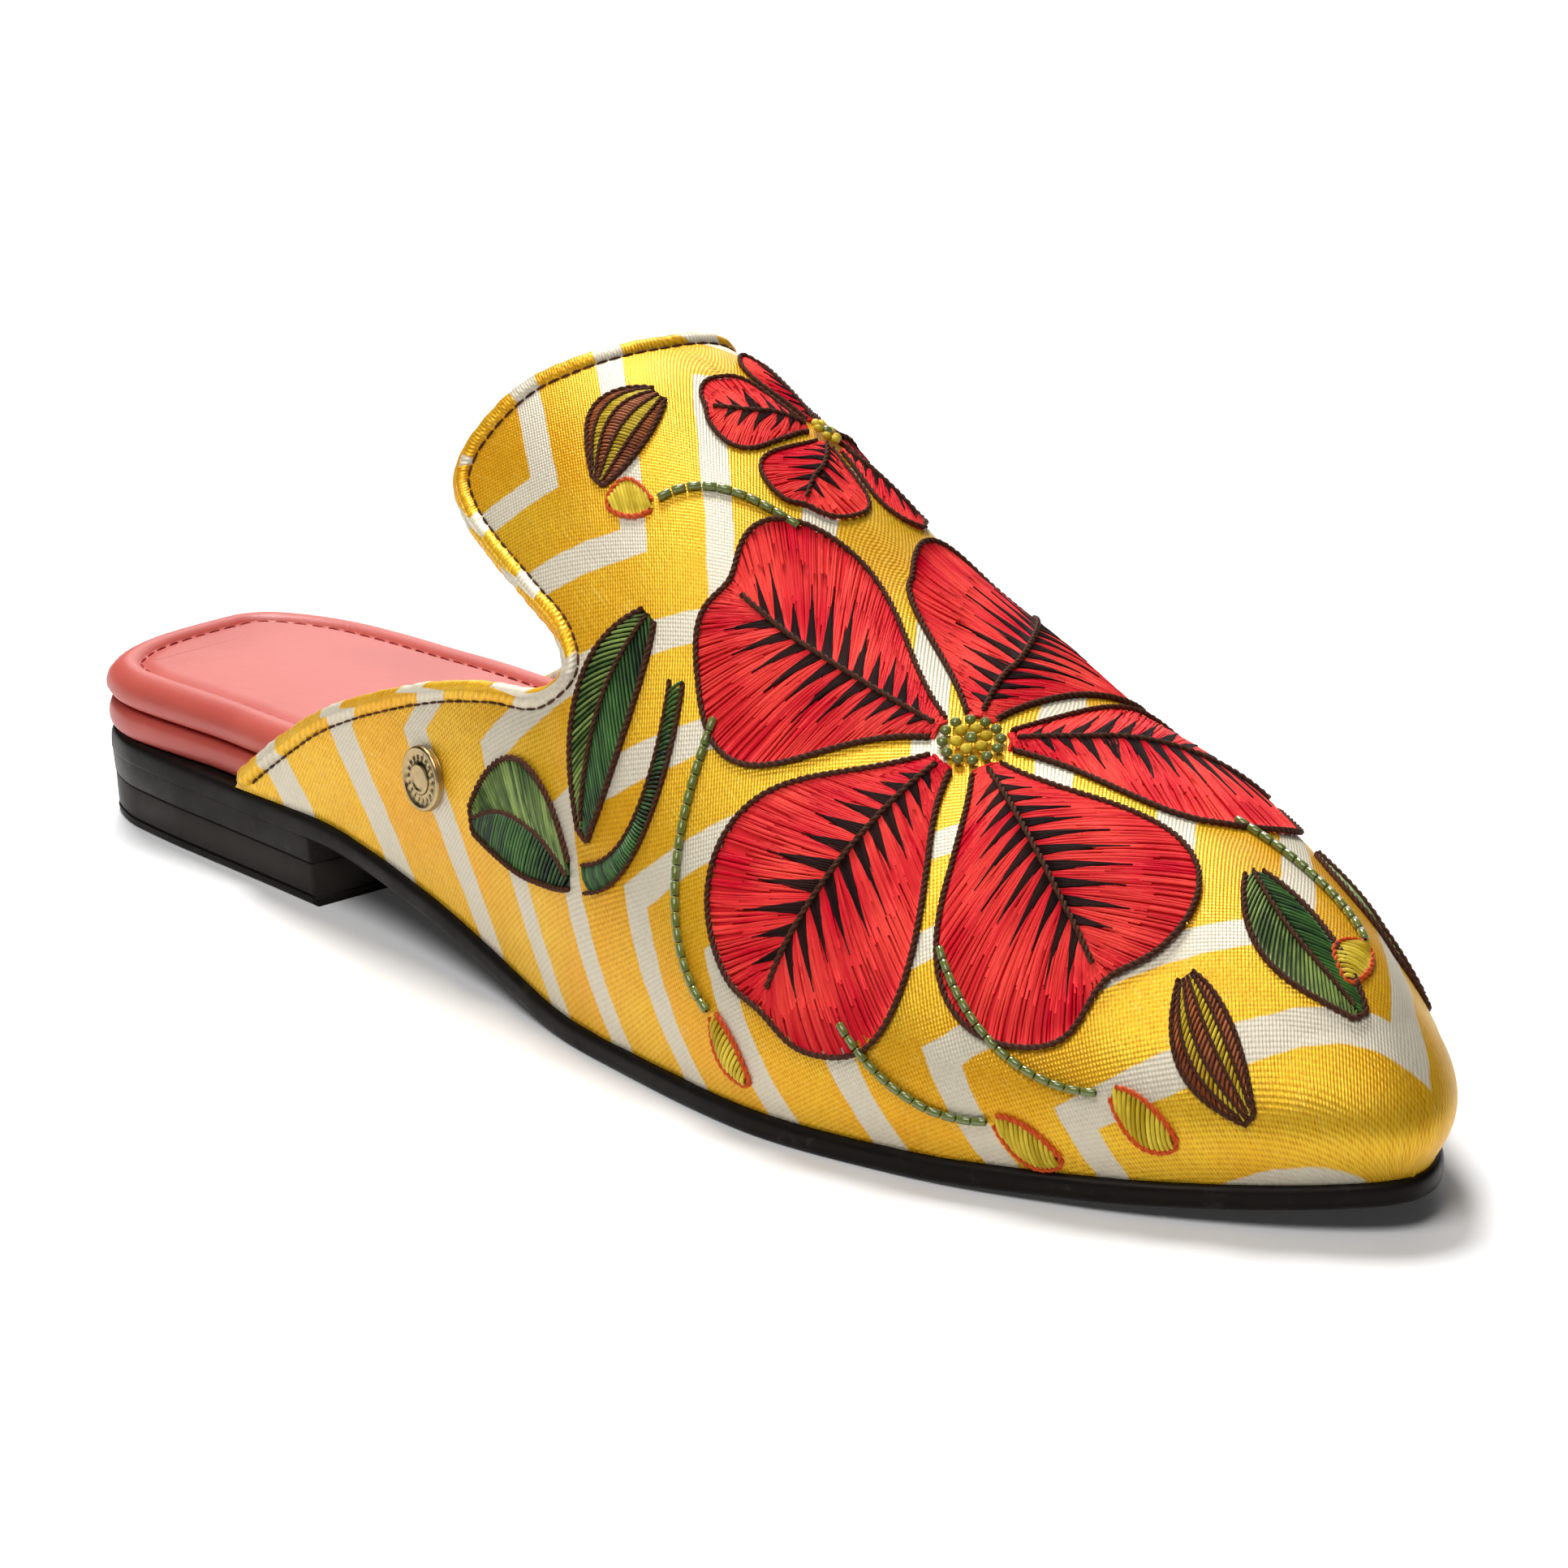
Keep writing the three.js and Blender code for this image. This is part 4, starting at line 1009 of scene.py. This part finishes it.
# place on a leaf, bud or seed, which bows to one side
def sprigSpot(row, u, v):
    a = math.radians(row["heading"])
    half = row["width"] / 2 * np.sin(np.pi * (0.05 + 0.9 * u)) ** 0.8
    w = v * half + 0.09 * row["length"] * np.sin(np.pi * u)
    along = u * row["length"]
    x = row["x"] + along * math.cos(a) - w * math.sin(a)
    return x, row["across"] + along * math.sin(a) + w * math.cos(a)


# the places of one motif as a function of u and v
def spotOf(row):
    return lambda u, v: sprigSpot(row, u, v)


# a cord round the whole edge of a motif
def outlineRope(row, bundle, pad, strand):
    u = np.concatenate([np.linspace(0, 1, 60), np.linspace(1, 0, 60)])
    v = np.concatenate([np.ones(60), -np.ones(60)])
    addCord(bundle, spotOf(row), u, v, pad, 0.08, strand)


# slanted threads from the midrib of each leaf, dark on one side and light on the other
def buildLeaves():
    sew = {"pad": 0.85, "perLength": 1.35, "slant": 0.2, "uneven": 0.03, "thread": 0.44, "cord": 0.27}
    rib = {"line": np.linspace(0.0, 0.96, 40), "lift": 0.14, "cord": 0.21}
    dark, light, brown = Bundle(), Bundle(), Bundle()
    s = np.linspace(0, 1, 6)[None, :]
    for row in leaves:
        dark.add(underlayMesh(spotOf(row), sew["pad"], 0.0))
        root = np.linspace(0.0, 0.97, int(row["length"] * sew["perLength"]))[:, None]
        tip = np.minimum(root + sew["slant"] * np.sin(np.pi * (0.15 + 0.8 * root)), 1)
        for half, bundle in ((-1, dark), (1, light)):
            x, across = between(sprigSpot(row, root, 0 * root), sprigSpot(row, tip, half + 0 * root), s)
            high = padHeight(sew["pad"], root + (tip - root) * s, half * s)
            high = high + rng.normal(0, sew["uneven"], root.shape)
            bundle.add(flossMesh(x, across, high, sew["thread"], twine))
        outlineRope(row, brown, sew["pad"], sew["cord"])
        addCord(brown, spotOf(row), rib["line"], 0 * rib["line"], sew["pad"], rib["lift"], rib["cord"])
    dark.build("leafDarkThreads", floss["fern"], "leaf_green", [row["name"] for row in leaves])
    light.build("leafLightThreads", floss["grass"], "leaf_green")
    brown.build("leafOutline", floss["brown"], "leaf_green")


# bands of rust and yellow floss along each bud
def buildBuds():
    sew = {"pad": 0.85, "perLength": 1.5, "slant": 0.06, "crown": 0.12, "uneven": 0.025, "thread": 0.46,
           "cord": 0.24}
    seam = {"line": np.linspace(0.03, 0.97, 40), "lift": 0.1, "cord": 0.17, "pitch": 1.8}
    rust, yellow, brown = Bundle(), Bundle(), Bundle()
    edges = (-1.0, -0.62, -0.22, 0.22, 0.62, 1.0)
    s = np.linspace(0, 1, 5)[None, :]
    for row in buds:
        rust.add(underlayMesh(spotOf(row), sew["pad"], 0.0))
        root = np.linspace(0.02, 0.92, int(row["length"] * sew["perLength"]))[:, None]
        u = root + sew["slant"] * s
        for lo, hi, bundle in zip(edges, edges[1:], (rust, yellow, rust, yellow, rust)):
            v = lo + (hi - lo) * s
            x, across = sprigSpot(row, u, v)
            high = padHeight(sew["pad"], u, v) + sew["crown"] * np.sin(np.pi * s)
            high = high + rng.normal(0, sew["uneven"], root.shape)
            bundle.add(flossMesh(x, across, high, sew["thread"], twine))
            if hi < 1:
                side = hi + 0 * seam["line"]
                addCord(brown, spotOf(row), seam["line"], side, sew["pad"], seam["lift"], seam["cord"],
                        seam["pitch"])
        outlineRope(row, brown, sew["pad"], sew["cord"])
    rust.build("budRustThreads", floss["rust"], "bud_rust", [row["name"] for row in buds])
    yellow.build("budYellowThreads", floss["yellow"], "bud_rust")
    brown.build("budOutline", floss["brown"], "bud_rust")


# curve on the vamp from its first to its last place, drawn towards the middle one
def bezier(row, u):
    keep, pull, end = (1 - u) ** 2, 2 * u * (1 - u), u * u
    return tuple(keep * row[k + "0"] + pull * row[k + "1"] + end * row[k + "2"] for k in ("x", "across"))


# a line on the vamp moved sideways
def beside(line, by):
    x, across = line
    dx, dy = np.gradient(x, axis=0), np.gradient(across, axis=0)
    size = np.hypot(dx, dy)
    return x - dy / size * by, across + dx / size * by


# satin stitched stem between the quarter leaf and the flower
def buildStem():
    row = {"x0": 140, "across0": 65, "x1": 154, "across1": 54, "x2": 142, "across2": 38}
    sew = {"width": 2.3, "slant": 0.02, "low": 0.35, "crown": 0.45, "thread": 0.44,
           "cordAt": 1.25, "cord": 0.2}
    dark, brown = Bundle(), Bundle()
    root = np.linspace(0.02, 0.98, 60)[:, None]
    s = np.linspace(-1, 1, 5)[None, :]
    x, across = beside(bezier(row, root + sew["slant"] * s), s * sew["width"] / 2)
    high = sew["low"] + sew["crown"] * (1 - s * s) + 0 * root
    dark.add(flossMesh(x, across, high, sew["thread"], twine))
    for edge in (-1, 1):
        x, across = beside(bezier(row, np.linspace(0, 1, 50)), edge * sew["cordAt"])
        brown.add(ropeMesh(x, across, sew["low"], sew["cord"]))
    dark.build("stemThreads", floss["fern"], "leaf_green", ["stem_lateral"])
    brown.build("stemOutline", floss["brown"], "leaf_green")


buildLeaves()
buildBuds()
buildStem()
print("leaves, buds and stem built")


# short glass tubes set end to end along a path
def bugleMesh(x, across, high, long=1.9, gap=0.22, radius=0.58):
    turn = turnOf(x, across)
    line = offUpper(x, turn, np.broadcast_to(high, x.shape))
    normal = normalAt(x, turn)
    far = lengthAlong(line)
    row = Bundle()
    shape = np.array([[0.0, 0.35], [0.0, 0.85], [0.06, 1.0], [0.94, 1.0], [1.0, 0.85], [1.0, 0.35]])
    sides = 8
    ring = np.linspace(0, 2 * np.pi, sides, endpoint=False)[:, None]
    start = 0.0
    while start + long < far[-1]:
        a, b = alongPath(start, far, line), alongPath(start + long, far, line)
        n = alongPath(start, far, normal)
        run = unit(b - a)
        out = unit(n - run * (n * run).sum())
        circle = out * np.cos(ring) + np.cross(run, out) * np.sin(ring)
        p = (a + (b - a) * shape[:, :1])[:, None, :] + circle[None] * (radius * shape[:, 1])[:, None, None]
        row.add((p.reshape(-1, 3), tubeFaces(len(shape), sides), 0.0))
        start += long + gap
    return row.joined()


# round seed bead or knot
def knotMesh(x, across, high, radius, squash=0.75):
    rings, sides = 8, 12
    x = np.array(x, float)
    turn = turnOf(x, across)
    centre = offUpper(x, turn, high)
    normal = normalAt(x, turn)
    right = unit(np.cross(normal, [0.3, 0.9, 0.2]))
    up = np.cross(normal, right)
    lat = np.linspace(0.02, np.pi - 0.02, rings)[:, None, None]
    lon = np.linspace(0, 2 * np.pi, sides, endpoint=False)[None, :, None]
    p = np.sin(lat) * (np.cos(lon) * right + np.sin(lon) * up) + np.cos(lat) * normal * squash
    return (centre + radius * p).reshape(-1, 3), tubeFaces(rings, sides)[:, ::-1], rng.random()


# beaded hearts of the flowers and beaded curls ending in small yellow seeds
def buildBeads():
    beads, knots, seeds, rims = Bundle(), Bundle(), Bundle(), Bundle()
    hearts = [                                           # each ring's radius, count and size of bead
        {"bloom": blooms[0], "rings": ((0, 1, 0.9), (1.9, 6, 0.85), (3.7, 12, 0.8))},
        {"bloom": blooms[1], "rings": ((0, 1, 0.8), (1.75, 7, 0.7))},
    ]
    for heart in hearts:
        for radius, count, size in heart["rings"]:
            for k in range(count):
                a = 2 * np.pi * (k + 0.3 * (radius > 2)) / count
                x = heart["bloom"]["x"] + radius * math.cos(a)
                across = heart["bloom"]["across"] + radius * math.sin(a)
                made = knotMesh(x, across, 0.7 + 0.5 * (1 - radius / 5), size)
                (beads if (radius > 2.5 or radius == 0) else knots).add(made)
    curls = rowsOf(("x0", "across0", "x1", "across1", "x2", "across2"), [
        (198, 35, 214, 44, 226, 34),
        (190, 49, 203, 55, 213, 47),
        (150, 36, 158, 60, 170, 60),
        (212, -3, 230, -8, 238, -4),
        (140, 8, 126, 14, 124, 26),
    ])
    sew = {"turn": 35, "length": 8.2, "width": 5.0, "slant": 0.07, "pad": 0.9, "low": 0.35, "crown": 0.6,
           "uneven": 0.03, "thread": 0.60, "rimPad": 0.6, "rim": 0.25, "beadLift": 0.5}
    root = np.linspace(0.08, 0.92, 12)[:, None]
    s = np.linspace(-1, 1, 6)[None, :]
    for row in curls:
        beads.add(bugleMesh(*bezier(row, np.linspace(0, 1, 60)), sew["beadLift"]))
        heading = math.degrees(math.atan2(row["across2"] - row["across1"], row["x2"] - row["x1"]))
        seed = {"x": row["x2"], "across": row["across2"], "heading": heading + sew["turn"],
                "length": sew["length"], "width": sew["width"]}
        x, across = sprigSpot(seed, root + sew["slant"] * s, s)
        seeds.add(underlayMesh(spotOf(seed), sew["pad"], 0.0))
        high = sew["low"] + sew["crown"] * (1 - s * s) + rng.normal(0, sew["uneven"], root.shape)
        seeds.add(flossMesh(x, across, high, sew["thread"], twine))
        outlineRope(seed, rims, sew["rimPad"], sew["rim"])
    beads.build("oliveBeads", bead, "bead_olive", ["bloom_core", "blossom_core"])
    knots.build("heartKnots", floss["yellow"], "bead_olive")
    seeds.build("seedThreads", floss["yellow"], "bead_olive")
    rims.build("seedOutline", floss["orange"], "bead_olive")


buildBeads()
print("beads built")


# places a lamp or camera and turns it towards its aim
def aimed(name, data, at, aim):
    obj = addObject(name, data)
    obj.location = at
    obj.rotation_euler = (Vector(aim) - Vector(at)).to_track_quat("-Z", "Y").to_euler()
    return obj


# white floor, a sky that is brighter overhead, and three soft lamps
def buildStage():
    mesh = bpy.data.meshes.new("floor")
    mesh.from_pydata([(-4, -4, 0), (4, -4, 0), (4, 4, 0), (-4, 4, 0)], [], [(0, 1, 2, 3)])
    dull = {"Specular_IOR_Level": 0.1, "Emission_Strength": 0.03}
    mesh.materials.append(newMaterial("floorWhite", (0.93, 0.93, 0.93), 0.9, **dull))
    floor = addObject("floor", mesh)
    sky = {"zenith": 1.0, "level": 0.25, "seen": 1.0}
    world = bpy.data.worlds.new("studio")
    world.use_nodes = True
    net = Net(world, "Background")
    split = net.node("ShaderNodeSeparateXYZ", {0: net.place("Generated")})
    levels = {"Value": split.outputs["Z"], "To Min": sky["level"], "To Max": sky["zenith"]}
    height = net.node("ShaderNodeMapRange", levels).outputs["Result"]
    camera = net.node("ShaderNodeLightPath").outputs["Is Camera Ray"]
    seen = net.node("ShaderNodeMix", {0: camera, 2: height, 3: sky["seen"]})
    net.wire("Strength", seen.outputs[0])
    bpy.context.scene.world = world
    lamps = rowsOf(("name", "at", "aim", "size", "power"), [
        ("key", (-0.52, 0.20, 1.10), (0.0, 0.0, 0.03), 0.45, 14.4),
        ("back", (-0.75, 0.75, 0.55), (0.0, 0.0, 0.04), 0.9, 4.4),
        ("fill", (0.22, -0.62, 1.12), (0.0, 0.0, 0.04), 0.8, 8.8),
    ])
    for lamp in lamps:
        data = bpy.data.lights.new(lamp["name"], "AREA")
        data.shape = "DISK"
        data.size = lamp["size"]
        data.energy = lamp["power"]
        aimed(lamp["name"], data, lamp["at"], lamp["aim"])


# the photograph's camera place, aimed at the one shoe
def buildCamera():
    shot = {"at": (0.6775, -0.5820, 0.3343), "aim": (-0.0024, 0.0064, 0.0260), "lens": 158.7,
            "sensor": 36.0, "near": 0.01}
    data = bpy.data.cameras.new("photoCamera")
    data.sensor_width = shot["sensor"]
    data.lens = shot["lens"]
    data.clip_start = shot["near"]
    bpy.context.scene.camera = aimed("photoCamera", data, shot["at"], shot["aim"])


buildStage()
buildCamera()
bpy.context.scene.view_settings.view_transform = "Standard"
bpy.context.scene.view_settings.look = "None"
print("stage and camera ready")
